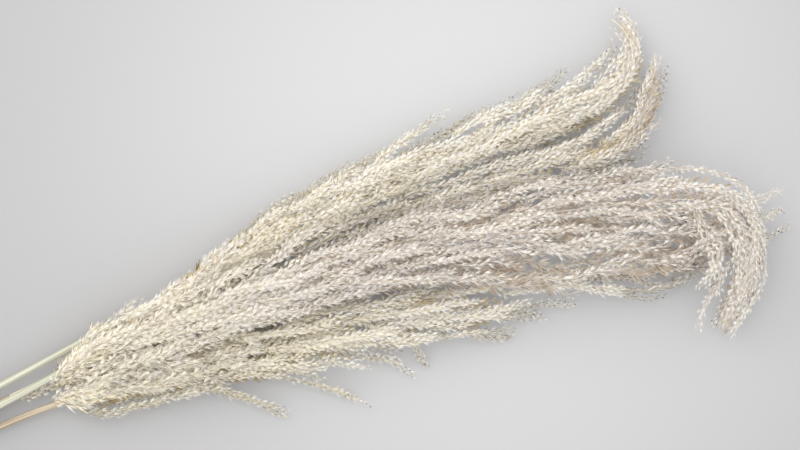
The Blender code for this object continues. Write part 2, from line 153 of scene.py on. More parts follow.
def read_at(points, along, places):
    return np.stack([np.interp(places, along, column) for column in points.T], axis=1)


def even_line(points, step):
    along = distances_along(points)
    count = max(3, round(along[-1] / step) + 1)
    return read_at(points, along, np.linspace(0, along[-1], count))


def smooth_line(points, step):
    knots = np.array(points, float)
    knots = np.vstack([2 * knots[0] - knots[1], knots, 2 * knots[-1] - knots[-2]])
    t = np.linspace(0, 1, CURVE_SAMPLES, endpoint=False)[:, None]
    pieces = []
    for a, b, c, d in zip(knots, knots[1:], knots[2:], knots[3:]):
        bend = (2 * a - 5 * b + 4 * c - d) * t**2 + (3 * b - a - 3 * c + d) * t**3
        pieces.append(b + 0.5 * ((c - a) * t + bend))
    return even_line(np.vstack(pieces + [knots[-2][None]]), step)


def unit(vectors):
    lengths = np.linalg.norm(vectors, axis=-1, keepdims=True)
    return vectors / np.maximum(lengths, 1e-6)


def headings(points):
    return unit(np.gradient(points, axis=0))


def at_angle(across, up, angle):
    """The direction at this angle round a line, from the two directions square to it."""
    return across * np.cos(angle)[:, None] + up * np.sin(angle)[:, None]


def metres(lines):
    return sum(distances_along(line)[-1] for line in lines) / 1000


def softened(points):
    result = points.copy()
    result[1:-1] = 0.5 * points[1:-1] + 0.25 * (points[:-2] + points[2:])
    return result


def ring_frames(centres):
    """Two directions square to the line at each point, carried along without twist."""
    ahead = headings(centres)
    side = np.cross(ahead[0], UP)
    sides = []
    for way in ahead:
        side = unit(side - way * side.dot(way))
        sides.append(side)
    sides = np.array(sides)
    return sides, np.cross(ahead, sides)


WHOLE_LINES = {name: smooth_line(points, LINE_STEP) for name, points in LINES.items()}


def split_line(name):
    line = WHOLE_LINES[name]
    first = int(np.argmax(line[:, 0] >= PLUME_START[name]))
    return line[: first + 1], line[first:]


for name in LINES:
    culm, plume = split_line(name)
    print(f"line {name}: culm {distances_along(culm)[-1]:.0f} mm, plume {distances_along(plume)[-1]:.0f} mm")

# %% [markdown]
# The main branches follow the construction's own rule with its own random draws, so that what shows stays
# where the solids are. Each branch leaves the rachis at a slant, runs along it and turns out at its tip.
# Then all of them are eased apart in small rounds, as crowded branches do when a plume is laid down.

# %% The rule for the main branches
BRANCH_STEP = 4.0
BRANCH_SPACING = 12.5
LONGEST_BRANCH = 150.0
SHORTEST_BRANCH = 84.0
LENGTH_RANGE = (0.85, 1.15)
FIRST_ROOT = 3.0
LAST_ROOT_FROM_TIP = 71.4
ROOT_CROWDING = 0.85
PAST_TIP = 6.0
GOLDEN_SHARE = 0.618034
UPWARD_RANGE = (0.6, 1.0)
FLATTENING = 0.6
SWELL = ((0, 0.2, 0.45, 0.8, 1.0, 1.2), (0.5, 0.85, 1.0, 0.9, 0.55, 0.4))
LEAVING_SHARE = 0.5
TIP_TURN_RANGE = (2, 9)
WAVE_HEIGHT = 2.0
WAVE_LENGTH = 17.0
DEPARTURE = 7.5
DEPARTURE_LENGTH = 15.0
SETTLING_ROUNDS = 24
ROOT_HOLD = 18.0
PUSH_APART = 0.6
PUSH_CLEAR = 0.4
CLEARANCE = 1.0
CLEAR_REACH = 4.2
LEAST_HEIGHT = 3.0
SIDE_FREEDOM = 0.15


def nearest(points, line):
    ways = points[:, None, :] - line[None, :, :]
    lengths = np.sqrt((ways**2).sum(axis=2))
    picks = lengths.argmin(axis=1)
    rows = np.arange(len(points))
    return lengths[rows, picks], ways[rows, picks]


def push_clear(points, own):
    near, from_own = nearest(points, WHOLE_LINES[own])
    push = np.zeros_like(points)
    for name, line in WHOLE_LINES.items():
        if name == own:
            continue
        far, from_other = nearest(points, line)
        short = np.maximum(2 * CLEAR_REACH + CLEARANCE - (far - near), 0)[:, None]
        way = unit(from_other) - unit(from_own)
        push += short * way / np.maximum((way**2).sum(axis=1, keepdims=True), 0.3)
    return push


def push_apart(points, owners):
    ways = points[:, None, :] - points[None, :, :]
    lengths = np.sqrt((ways**2).sum(axis=2))
    crowding = np.clip(1 - lengths / BRANCH_SPACING, 0, None)
    crowding[owners[:, None] == owners[None, :]] = 0
    sizes = crowding.sum(axis=1, keepdims=True)
    push = (ways / np.maximum(lengths, 1)[:, :, None] * crowding[:, :, None]).sum(axis=1)
    return BRANCH_SPACING * push / np.maximum(sizes, 1)


def settled(lines, freedoms, own):
    axis = even_line(split_line(own)[1], BRANCH_STEP)
    owners = np.repeat(np.arange(len(lines) + 1), [len(line) for line in lines] + [len(axis)])
    held = [np.clip(distances_along(line) / ROOT_HOLD, 0, 1)[:, None] for line in lines]
    for _ in range(SETTLING_ROUNDS):
        every = np.vstack(lines + [axis])
        apart = push_apart(every, owners)
        clear = push_clear(every, own)
        eased = []
        for k, line in enumerate(lines):
            mine = owners == k
            push = PUSH_APART * freedoms[k] * apart[mine] + PUSH_CLEAR * clear[mine]
            line = softened(line + held[k] * push)
            line[:, 2] = np.maximum(line[:, 2], LEAST_HEIGHT)
            eased.append(line)
        lines = eased
    return lines


def ruled_branch(plume, name, root, length, across, upward, rng):
    along = distances_along(plume)
    total = along[-1]
    places = np.arange(0, length, BRANCH_STEP)
    reach = places / length
    spots = np.minimum(root + places, total)
    past = np.maximum(root + places - total, 0)[:, None]
    base = read_at(plume, along, spots)
    way = unit(read_at(headings(plume), along, spots))
    side = unit(np.cross(UP, way))
    up = np.cross(way, side)
    swell = np.interp((root + places) / total, *SWELL)
    leave = 1 - (1 - np.minimum(reach / LEAVING_SHARE, 1)) ** 2
    spread = SPREAD[name][0 if across > 0 else 1]
    offset = spread * swell * leave + rng.uniform(*TIP_TURN_RANGE) * reach**4
    wave = WAVE_HEIGHT * np.sin(places / WAVE_LENGTH + rng.uniform(0, 2 * math.pi))
    wave *= np.minimum(reach * 3, 1)
    departure = DEPARTURE * np.minimum(places / DEPARTURE_LENGTH, 1)
    outward = np.maximum(offset, departure / math.hypot(across, upward * FLATTENING))
    line = base + past * way + side * (across * outward + wave)[:, None]
    return line + up * (upward * FLATTENING * outward)[:, None]


def ruled_branches(name, rng):
    _, plume = split_line(name)
    total = distances_along(plume)[-1]
    count = BRANCHES[name]
    lines = []
    for k in range(count):
        share = k / (count - 1)
        root = FIRST_ROOT + (total - LAST_ROOT_FROM_TIP) * share**ROOT_CROWDING
        length = LONGEST_BRANCH + (SHORTEST_BRANCH - LONGEST_BRANCH) * root / total
        length = min(length * rng.uniform(*LENGTH_RANGE), total - root + PAST_TIP)
        across = 2 * (k * GOLDEN_SHARE % 1) - 1
        upward = math.sqrt(1 - across**2) * (1 if k % 5 in (0, 2, 4) else -1)
        upward *= rng.uniform(*UPWARD_RANGE)
        lines.append(ruled_branch(plume, name, root, length, across, upward, rng))
    return lines


def side_branches(name):
    _, plume = split_line(name)
    lines = []
    for points in SIDE_BRANCHES[name]:
        first = plume[np.hypot(*(plume[:, :2] - points[0]).T).argmin()]
        shares = np.linspace(0, 1, len(points))
        heights = first[2] + (SIDE_TIP_HEIGHT[name] - first[2]) * shares
        knots = [first] + [(*point, height) for point, height in zip(points[1:], heights[1:])]
        lines.append(smooth_line(knots, BRANCH_STEP))
    return lines


def main_branches(name):
    ruled = ruled_branches(name, random.Random(SEEDS[name]))
    hand_set = side_branches(name)
    freedoms = [1.0] * len(ruled) + [SIDE_FREEDOM] * len(hand_set)
    return settled(ruled + hand_set, freedoms, name)


MAIN_BRANCHES = {name: main_branches(name) for name in LINES}
for name, lines in MAIN_BRANCHES.items():
    print(f"plume {name}: {len(lines)} branches, {metres(lines):.1f} m")

# %% [markdown]
# A real branch divides again and again, and each thin twig ends in a soft pointed tuft. So every main branch
# gets a few twigs that leave it at a slant and then run beside it. A rope is kept as its line, its thickness
# and whether it lies deep in the plume, where little light comes and its hair takes only the darker ochre
# husk and root colours, as painted shade.

# %% Twigs
TWIG_STEP = 3.0
TWIG_SPACING = 27.0
TWIG_LENGTH = (34.0, 66.0)
TWIG_GAP = (3.5, 8.0)
TWIG_TURN = 1.1
TWIG_PAST_TIP = 3.0
RISE_LENGTH = 26.0
LEAST_ROPE_HEIGHT = 2.6
MOST_ROPE_HEIGHT = 87.0


def twig(line, along, frames, root, length, turn, turning, gap):
    """A twig that leaves the line at root, rises to its gap and then runs beside the line."""
    across, up = frames
    places = np.arange(root, min(root + length, along[-1] + TWIG_PAST_TIP), TWIG_STEP)
    spots = np.minimum(places, along[-1])
    way = read_at(headings(line), along, spots)
    route = read_at(line, along, spots) + (places - spots)[:, None] * way
    angle = turn + turning * (places - root) / length
    out = at_angle(read_at(across, along, spots), read_at(up, along, spots), angle)
    reach = (places - root) / RISE_LENGTH
    route = route + out * (gap * reach / np.sqrt(1 + reach**2))[:, None]
    route[:, 2] = np.clip(route[:, 2], LEAST_ROPE_HEIGHT, MOST_ROPE_HEIGHT)
    return route


def twigs_of_branch(line, rng):
    fine = even_line(line, TWIG_STEP)
    along = distances_along(fine)
    frames = ring_frames(fine)
    twigs = []
    for k in range(int(along[-1] / TWIG_SPACING)):
        root = (k + rng.uniform(0, 0.8)) * TWIG_SPACING
        twigs.append(twig(
            fine, along, frames, root, rng.uniform(*TWIG_LENGTH), rng.uniform(0, 2 * math.pi),
            rng.uniform(-TWIG_TURN, TWIG_TURN), rng.uniform(*TWIG_GAP),
        ))
    return twigs


# %% [markdown]
# The twigs that make a plume's own surface lie side by side between its two edges, as on the real one. Each
# edge is a given line. A twig runs at a share of the way from the upper edge to the lower one, and drifts
# a little. Layers of them are laid: deep ones low down, so that no table shows through the plume, and soft
# ones on top.

# %% Layers of twigs between two edges
EDGES = {
    "wool": (
        [
            (-82, 0), (-66, 9), (-50, 19), (-34, 25), (-20, 28), (-5, 32), (10, 34), (23, 36), (37, 39),
            (64, 45), (93, 55), (121, 63),
        ],
        [
            (-85, -27), (-73, -29), (-62, -33), (-50, -34), (-36, -32), (-12, -35), (11, -42), (35, -45),
            (60, -48), (82, -55),
        ],
    ),
    "1": (
        [
            (32, 36), (64, 45), (93, 55), (121, 65), (148, 70), (175, 75), (202, 81), (252, 79), (302, 76),
            (328, 80), (355, 84), (381, 88), (406, 86), (425, 89), (443, 101), (450, 114), (448, 129),
        ],
        [
            (30, 30), (59, 29), (112, 34), (163, 38), (216, 44), (268, 51), (296, 58), (322, 60), (346, 57),
            (371, 58), (397, 59), (416, 61), (437, 72), (451, 84), (457, 99), (457, 114), (451, 128),
        ],
    ),
    "2": (
        [
            (144, 32), (214, 39), (267, 47), (306, 50), (343, 48), (394, 49), (419, 49), (437, 57),
            (451, 70), (463, 85),
        ],
        [
            (140, 17), (208, 20), (260, 24), (314, 24), (359, 20), (393, 20), (424, 25), (444, 42),
            (457, 63), (465, 83),
        ],
    ),
    "3": (
        [(-70, -13), (2, -18), (60, -20), (127, -21), (193, -26), (241, -33), (287, -46)],
        [
            (-75, -28), (-36, -32), (3, -40), (36, -43), (75, -53), (118, -48), (157, -59), (200, -57),
            (239, -66), (295, -67),
        ],
    ),
    "4": (
        [
            (-39, 11), (13, 16), (74, 21), (142, 24), (210, 25), (261, 27), (314, 23), (358, 16), (391, 13),
            (430, 3), (458, -11), (484, -24), (494, -44),
        ],
        [
            (-47, -15), (3, -15), (61, -17), (129, -17), (195, -20), (243, -28), (288, -44), (332, -63),
            (380, -72), (418, -83), (445, -79), (465, -75), (478, -66),
        ],
    ),
    "droop": (
        [(465, -17), (485, -27), (498, -46), (502, -66), (495, -90), (483, -110), (466, -123), (450, -137)],
        [(450, -36), (469, -45), (479, -60), (480, -75), (475, -90), (465, -104), (456, -116), (448, -131)],
    ),
}
# For each plume: the edges, how many twigs, how far over the plume's line, how thick, and whether deep.
LAYERS = {
    "1": [("1", 46, (-6, 2), 1.15, True), ("1", 80, (6, 14), 1.0, False)],
    "2": [("2", 24, (-6, 0), 1.1, True), ("2", 34, (4, 10), 1.0, False)],
    "3": [
        ("wool", 44, (-5, 6), 1.3, True), ("wool", 44, (14, 26), 1.5, False),
        ("3", 40, (-6, 0), 1.2, True), ("3", 62, (5, 13), 1.05, False),
    ],
    "4": [
        ("wool", 34, (4, 12), 1.25, False),
        ("4", 120, (-22, -8), 1.45, True), ("4", 130, (5, 13), 1.2, False),
        ("droop", 16, (-8, 0), 1.2, True), ("droop", 44, (3, 8), 1.0, False),
    ],
}
LAYER_TWIG_LENGTH = (42.0, 88.0)
EARLIEST_START = 0.1
LATEST_START = 0.8
EDGE_MARGIN = 0.03
DRIFT = 0.14
SWAY = 0.025
SWAY_TURN = 9
SWAY_PHASES = 6
DOME = 0.55
ROOT_LIFT = 0.35
LIFT_GROWTH = 2.2
BRANCH_THICKNESS = 1.0
TWIG_THICKNESS = 0.9
STRAY_THICKNESS = 0.8
LEAST_ROPE_POINTS = 5
STRAYS = [
    [(246, 9, 72), (255, 16, 77), (261, 29, 77), (266, 42, 70)],
    [(70, -9, 50), (77, 9, 57), (81, 21, 56), (85, 30, 50)],
    [(484, -50, 46), (500, -51, 45), (513, -54, 43), (527, -58, 41)],
    [(485, -53, 43), (498, -59, 42), (512, -59, 40), (523, -54, 39)],
]


def height_over(route, name):
    """The height of the plume's own line where it is nearest to each point of the flat route."""
    line = WHOLE_LINES[name]
    ways = route[:, None, :] - line[None, :, :2]
    return line[(ways**2).sum(axis=2).argmin(axis=1), 2]


def layer_twig(upper, lower, name, lifts, rng):
    """A twig of a layer, between the two edges and at a random lift over the line of the plume."""
    lengths = [distances_along(edge)[-1] for edge in (upper, lower)]
    length = rng.uniform(*LAYER_TWIG_LENGTH) / max(lengths)
    first = rng.uniform(-EARLIEST_START * length, 1 - LATEST_START * length)
    shares = np.unique(np.clip(np.arange(first, first + length, TWIG_STEP / max(lengths)), 0, 1))
    ahead = (shares - shares[0]) / length
    drift = rng.uniform(-DRIFT, DRIFT)
    across = rng.uniform(EDGE_MARGIN, 1 - EDGE_MARGIN) + drift * ahead
    across = across + SWAY * np.sin(SWAY_TURN * ahead + rng.uniform(0, SWAY_PHASES))
    sides = []
    for edge in (upper, lower):
        along = distances_along(edge)
        sides.append(read_at(edge, along, shares * along[-1]))
    across = np.clip(across, -EDGE_MARGIN, 1 + EDGE_MARGIN)[:, None]
    flat = (1 - across) * sides[0] + across * sides[1]
    dome = 1 - DOME * (2 * across[:, 0] - 1) ** 2
    lift = rng.uniform(*lifts)
    rise = np.minimum(ROOT_LIFT + LIFT_GROWTH * ahead, 1)
    heights = height_over(flat, name) + lift * (dome if lift > 0 else 1) * rise
    return np.column_stack([flat, np.clip(heights, LEAST_ROPE_HEIGHT, MOST_ROPE_HEIGHT)])


def layered_ropes(name, rng):
    ropes = []
    for edges, count, lifts, thickness, deep in LAYERS[name]:
        upper, lower = [smooth_line(edge, LINE_STEP) for edge in EDGES[edges]]
        ropes += [(layer_twig(upper, lower, name, lifts, rng), thickness, deep) for _ in range(count)]
    return ropes


def ropes_of(name):
    rng = random.Random(100 + SEEDS[name])
    ropes = []
    for line in MAIN_BRANCHES[name]:
        ropes.append((line, BRANCH_THICKNESS, False))
        ropes += [(route, TWIG_THICKNESS, False) for route in twigs_of_branch(line, rng)]
    ropes += layered_ropes(name, rng)
    if name == "4":
        ropes += [(smooth_line(points, TWIG_STEP), STRAY_THICKNESS, False) for points in STRAYS]
    rng.shuffle(ropes)
    return [rope for rope in ropes if len(rope[0]) >= LEAST_ROPE_POINTS]


ROPES = {name: ropes_of(name) for name in LINES}
for name, ropes in ROPES.items():
    print(f"plume {name}: {len(ropes)} ropes, {metres(line for line, _, _ in ropes):.1f} m")

# %% [markdown]
# The camera looks straight down, because the bundle lies on its table and the picture was taken from above.
# It is turned about the vertical so that the culms come in from the lower left, and it sees the plumes only.

# %% Camera
VIEW_CENTRE = Vector((0.2272, 0.0279, 0.045))
VIEW_TURN = math.radians(-18)
VIEW_WIDTH = 0.640
LENS = 100.0
SENSOR = 36.0
FARTHEST_SEEN = 50.0

camera_data = bpy.data.cameras.new("camera")
camera_data.lens = LENS
camera_data.sensor_width = SENSOR
camera = bpy.data.objects.new("camera", camera_data)
bpy.context.scene.collection.objects.link(camera)
camera.location = VIEW_CENTRE + Vector((0, 0, VIEW_WIDTH * LENS / SENSOR))
camera.rotation_euler = (0, 0, VIEW_TURN)
camera_data.clip_end = FARTHEST_SEEN
bpy.context.scene.camera = camera
bpy.context.scene.view_settings.view_transform = "Standard"
print("camera height:", round(camera.location.z, 3), "m")

# %% [markdown]
# All plume materials share one effect: hair that is warm and darker at its root and pale at its tip, on a
# spikelet whose husk is darker. The darker root is partly the hair's own colour and partly painted shade for
# the inside of the tuft. It is a node group with named inputs, so that the cream plumes and the pink grey one
# differ only in the colours that they hand to it. The hair's own UV map carries two numbers: across, the tone
# from the pale woolly base of the plume to its dark thin tips, and up, the place from husk to root to tip of
# the hair.

# %% Node helpers
def add_node(tree, kind, inputs=(), **settings):
    node = tree.nodes.new(kind)
    for key, value in settings.items():
        setattr(node, key, value)
    for key, value in dict(inputs).items():
        if isinstance(value, bpy.types.NodeSocket):
            tree.links.new(value, node.inputs[key])
        else:
            node.inputs[key].default_value = value
    return node


def colour_mix(tree, factor, first, second, blend="MIX"):
    node = add_node(tree, "ShaderNodeMix", data_type="RGBA", blend_type=blend)
    for socket, value in zip((node.inputs[0], node.inputs[6], node.inputs[7]), (factor, first, second)):
        if isinstance(value, bpy.types.NodeSocket):
            tree.links.new(value, socket)
        else:
            socket.default_value = value
    return node.outputs[2]


def between(tree, value, low, high):
    """0 below low, 1 above high and a smooth rise between."""
    return add_node(
        tree, "ShaderNodeMapRange", {"Value": value, "From Min": low, "From Max": high},
        interpolation_type="SMOOTHSTEP",
    ).outputs["Result"]


def rgba(colour):
    return (*colour, 1.0)


# %% The hair group
HUSK_END = 0.12
HAIR_START = 0.15
TINT_END = 0.6
MIDDLE_TONES = (0.1, 0.5)
TIP_TONES = (0.55, 0.95)
HUSK_SHARE = 0.55
HAIR_GLOSS = 0.25


def hair_group():
    group = bpy.data.node_groups.new("Silky hair", "ShaderNodeTree")
    for title in ("Base tone", "Middle tone", "Tip tone", "Root tint and painted shade", "Husk colour"):
        group.interface.new_socket(title, in_out="INPUT", socket_type="NodeSocketColor")
    group.interface.new_socket("Map", in_out="INPUT", socket_type="NodeSocketVector")
    group.interface.new_socket("Colour", in_out="OUTPUT", socket_type="NodeSocketColor")
    given = add_node(group, "NodeGroupInput").outputs
    parts = add_node(group, "ShaderNodeSeparateXYZ", {"Vector": given["Map"]}).outputs
    tone, reach = parts["X"], parts["Y"]
    colour = colour_mix(group, between(group, tone, *MIDDLE_TONES), given["Base tone"], given["Middle tone"])
    colour = colour_mix(group, between(group, tone, *TIP_TONES), colour, given["Tip tone"])
    # Painted shade, in part: the root tint warms and darkens each hair towards its root, inside the tuft.
    rooted = colour_mix(group, 1.0, colour, given["Root tint and painted shade"], "MULTIPLY")
    hair = colour_mix(group, between(group, reach, HAIR_START, TINT_END), rooted, colour)
    husk = colour_mix(group, between(group, tone, 0.0, 0.9), colour, given["Husk colour"])
    husk = colour_mix(group, HUSK_SHARE, husk, given["Husk colour"])
    result = colour_mix(group, between(group, reach, HUSK_END, HAIR_START), husk, hair)
    out = add_node(group, "NodeGroupOutput")
    group.links.new(result, out.inputs["Colour"])
    return group


HAIR_GROUP = hair_group()
FUR_MAP = "OFBake"


def plume_material(name, roughness, tones):
    material = bpy.data.materials.new(name)
    material.use_nodes = True
    tree = material.node_tree
    shader = tree.nodes["Principled BSDF"]
    group = add_node(tree, "ShaderNodeGroup", node_tree=HAIR_GROUP)
    for title, colour in tones.items():
        group.inputs[title].default_value = rgba(colour)
    place = add_node(tree, "ShaderNodeUVMap", uv_map=FUR_MAP)
    tree.links.new(place.outputs["UV"], group.inputs["Map"])
    tree.links.new(group.outputs["Colour"], shader.inputs["Base Color"])
    shader.inputs["Roughness"].default_value = roughness
    shader.inputs["Specular IOR Level"].default_value = HAIR_GLOSS
    return material


# The root tint is the hair's warm root colour and also painted shade inside the tuft.
CREAM_PLUME = plume_material("cream plume hair", 0.85, {
    "Base tone": (0.98, 0.92, 0.75),
    "Middle tone": (0.97, 0.95, 0.91),
    "Tip tone": (0.68, 0.62, 0.58),
    "Root tint and painted shade": (0.86, 0.73, 0.49),
    "Husk colour": (0.80, 0.68, 0.50),
})
PINK_GREY_PLUME = plume_material("pink grey plume hair", 0.8, {
    "Base tone": (0.98, 0.92, 0.77),
    "Middle tone": (0.96, 0.925, 0.88),
    "Tip tone": (0.56, 0.47, 0.44),
    "Root tint and painted shade": (0.75, 0.65, 0.54),
    "Husk colour": (0.62, 0.51, 0.43),
})
print("hair materials:", CREAM_PLUME.name, "and", PINK_GREY_PLUME.name)

# %% [markdown]
# Dry culms, the thin stalks inside the plumes and the twine share another effect: streaks that run along a
# stem. The streaks are noise, squeezed across and drawn out along the stem. They must follow the stem round
# its bends, so each stem is given its place before it was bent, as an attribute that the group reads.

# %% The streak group
STRAIGHT = "straight place"
BLOTCH_SCALE = 60.0
BLOTCH_DETAIL = 4.0
STREAK_DETAIL = 3.0
STREAK_EDGES = (0.38, 0.62)
STAIN_EDGES = (0.52, 0.72)
RELIEF_DEPTH = 0.0002


def streak_group():
    group = bpy.data.node_groups.new("Stem streaks", "ShaderNodeTree")
    for title in ("Pale", "Deep", "Stain"):
        group.interface.new_socket(title, in_out="INPUT", socket_type="NodeSocketColor")
    for title in ("Stretch", "Fineness", "Stain amount"):
        group.interface.new_socket(title, in_out="INPUT", socket_type="NodeSocketFloat")
    group.interface.new_socket("Colour", in_out="OUTPUT", socket_type="NodeSocketColor")
    group.interface.new_socket("Height", in_out="OUTPUT", socket_type="NodeSocketFloat")
    given = add_node(group, "NodeGroupInput").outputs
    place = add_node(group, "ShaderNodeAttribute", attribute_name=STRAIGHT).outputs["Vector"]
    scale = add_node(
        group, "ShaderNodeCombineXYZ",
        {"X": given["Stretch"], "Y": given["Fineness"], "Z": given["Fineness"]},
    ).outputs[0]
    drawn = add_node(group, "ShaderNodeVectorMath", {0: place, 1: scale}, operation="MULTIPLY").outputs[0]
    streaks = add_node(
        group, "ShaderNodeTexNoise", {"Vector": drawn, "Scale": 1.0, "Detail": STREAK_DETAIL},
    ).outputs["Fac"]
    blotches = add_node(
        group, "ShaderNodeTexNoise", {"Vector": place, "Scale": BLOTCH_SCALE, "Detail": BLOTCH_DETAIL},
    ).outputs["Fac"]
    colour = colour_mix(group, between(group, streaks, *STREAK_EDGES), given["Pale"], given["Deep"])
    spread = add_node(
        group, "ShaderNodeMath", {0: between(group, blotches, *STAIN_EDGES), 1: given["Stain amount"]},
        operation="MULTIPLY",
    ).outputs[0]
    colour = colour_mix(group, spread, colour, given["Stain"])
    out = add_node(group, "NodeGroupOutput")
    group.links.new(colour, out.inputs["Colour"])
    group.links.new(streaks, out.inputs["Height"])
    return group


STREAK_GROUP = streak_group()


def stem_material(name, colours, roughness, stretch, fineness, stain_amount=0.5, relief=0.3):
    """The colours are pale, deep and stain. A small stretch makes the streaks long."""
    material = bpy.data.materials.new(name)
    material.use_nodes = True
    tree = material.node_tree
    shader = tree.nodes["Principled BSDF"]
    group = add_node(tree, "ShaderNodeGroup", node_tree=STREAK_GROUP)
    for title, colour in zip(("Pale", "Deep", "Stain"), colours):
        group.inputs[title].default_value = rgba(colour)
    group.inputs["Stretch"].default_value = stretch
    group.inputs["Fineness"].default_value = fineness
    group.inputs["Stain amount"].default_value = stain_amount
    bump = add_node(tree, "ShaderNodeBump", {"Height": group.outputs["Height"], "Strength": relief})
    bump.inputs["Distance"].default_value = RELIEF_DEPTH
    tree.links.new(group.outputs["Colour"], shader.inputs["Base Color"])
    tree.links.new(bump.outputs["Normal"], shader.inputs["Normal"])
    shader.inputs["Roughness"].default_value = roughness
    return material


GREEN_CULM = stem_material(
    "green ivory culm", [(0.52, 0.505, 0.42), (0.39, 0.385, 0.28), (0.46, 0.42, 0.29)], 0.5, 14.0, 700.0)
STRAW_CULM = stem_material(
    "straw culm", [(0.49, 0.41, 0.31), (0.30, 0.225, 0.145), (0.40, 0.30, 0.19)], 0.5, 14.0, 700.0)
STALK = stem_material(
    "plume stalk", [(0.80, 0.74, 0.60), (0.66, 0.56, 0.40), (0.54, 0.42, 0.28)], 0.7, 30.0, 1500.0)
TWINE = stem_material(
    "jute twine", [(0.56, 0.42, 0.26), (0.30, 0.20, 0.11), (0.24, 0.16, 0.09)], 0.9, 260.0, 2600.0, 0.4, 0.8)
PITH = stem_material(
    "cut pith", [(0.84, 0.79, 0.62), (0.60, 0.50, 0.32), (0.45, 0.34, 0.20)], 0.9, 900.0, 900.0, 0.6, 0.5)
print("stem materials:", ", ".join(one.name for one in (GREEN_CULM, STRAW_CULM, STALK, TWINE, PITH)))

# %% [markdown]
# A spikelet is a slim pointed husk in a tuft of long silky hairs. It is modelled once for each kind, lying
# along X with its root at the origin. The husk is a three-sided cone whose base is drawn back to a point. A
# hair is a four-cornered blade, far narrower than it is long, with its tip bent down a little: two
# triangles, because the plumes need hundreds of thousands of them. A curve or a particle system would look
# finer from very near, but these blades are plain faces that every program can read.

# %% Selecting and placing
def deselect():
    for obj in list(bpy.context.selected_objects):
        obj.select_set(False)


def finish_place(obj):
    """The object's place goes into its mesh."""
    deselect()
    obj.select_set(True)
    bpy.context.view_layer.objects.active = obj
    bpy.ops.object.transform_apply(location=True, rotation=True, scale=True)
    return obj


def select_verts(chosen):
    """In edit mode, selects the vertices for which chosen(place) is true."""
    mesh = bmesh.from_edit_mesh(bpy.context.edit_object.data)
    for vert in mesh.verts:
        vert.select = chosen(vert.co)
    mesh.select_flush_mode()
    bmesh.update_edit_mesh(bpy.context.edit_object.data)


MAP_WIDTH = 0.006


def write_fur_map(obj, height_of):
    """Up the map goes the place along a hair; across it, a little to each side, so that no face is a line."""
    mesh = obj.data
    while mesh.uv_layers:
        mesh.uv_layers.remove(mesh.uv_layers[0])
    layer = mesh.uv_layers.new(name=FUR_MAP)
    widest = max(abs(vert.co.y) for vert in mesh.vertices)
    for loop in mesh.loops:
        place = mesh.vertices[loop.vertex_index].co
        layer.uv[loop.index].vector = (MAP_WIDTH * place.y / widest, height_of(place))


# %% Husk and hair blade
CONE_SHARE = 0.7
CONE_PLACE = 0.65
BACK_SHARE = 0.3
HUSK_MAP = (0.02, 0.08)
HAIR_MAP = (HAIR_START + 0.02, 0.83)
WIDEST_PLACE = 0.4


def husk(length, width):
    """A three-sided cone whose base is drawn back to a point, with its root at the origin."""
    deselect()
    bpy.ops.mesh.primitive_cone_add(
        vertices=3, radius1=width / 2, radius2=0, depth=CONE_SHARE * length, end_fill_type="NGON",
        location=(CONE_PLACE * length, 0, 0), rotation=(0, math.pi / 2, 0))
    body = finish_place(bpy.context.active_object)
    bpy.ops.object.mode_set(mode="EDIT")
    bpy.ops.mesh.select_mode(type="VERT")
    select_verts(lambda place: place.x < (BACK_SHARE + 0.01) * length)
    bpy.ops.mesh.extrude_region_move(TRANSFORM_OT_translate={"value": (-BACK_SHARE * length, 0, 0)})
    bpy.ops.mesh.merge(type="CENTER")
    bpy.ops.object.mode_set(mode="OBJECT")
    write_fur_map(body, lambda place: HUSK_MAP[0] + HUSK_MAP[1] * place.x / length)
    return body


def hair_blade(length, width, droop):
    """Two triangles: widest nearer to the root than to the tip, which is bent down."""
    deselect()
    bpy.ops.mesh.primitive_circle_add(vertices=4, radius=0.5, fill_type="NGON", location=(length / 2, 0, 0))
    blade = bpy.context.active_object
    blade.scale = (length, width, 1)
    finish_place(blade)
    bpy.ops.object.mode_set(mode="EDIT")
    bpy.ops.mesh.select_mode(type="VERT")
    select_verts(lambda place: place.x > 0.9 * length)
    bpy.ops.transform.translate(value=(0, 0, -droop * length))
    select_verts(lambda place: abs(place.y) > 0.1 * width)
    bpy.ops.transform.translate(value=((WIDEST_PLACE - 0.5) * length, 0, 0))
    bpy.ops.mesh.select_all(action="SELECT")
    bpy.ops.mesh.quads_convert_to_tris(quad_method="SHORTEST_DIAGONAL")
    bpy.ops.object.mode_set(mode="OBJECT")
    write_fur_map(blade, lambda place: HAIR_MAP[0] + HAIR_MAP[1] * place.x / length)
    return blade


# %% Spikelets
HAIR_TONE = 0.08
HAIR_DROOP = 0.12
HAIR_SIZES = (0.7, 1.1)
HAIR_ROOTS = (0, 0.25)
HAIR_ROLL = 1.2
UNEVEN_TURN = 0.3
HUSK_ROLL = 2


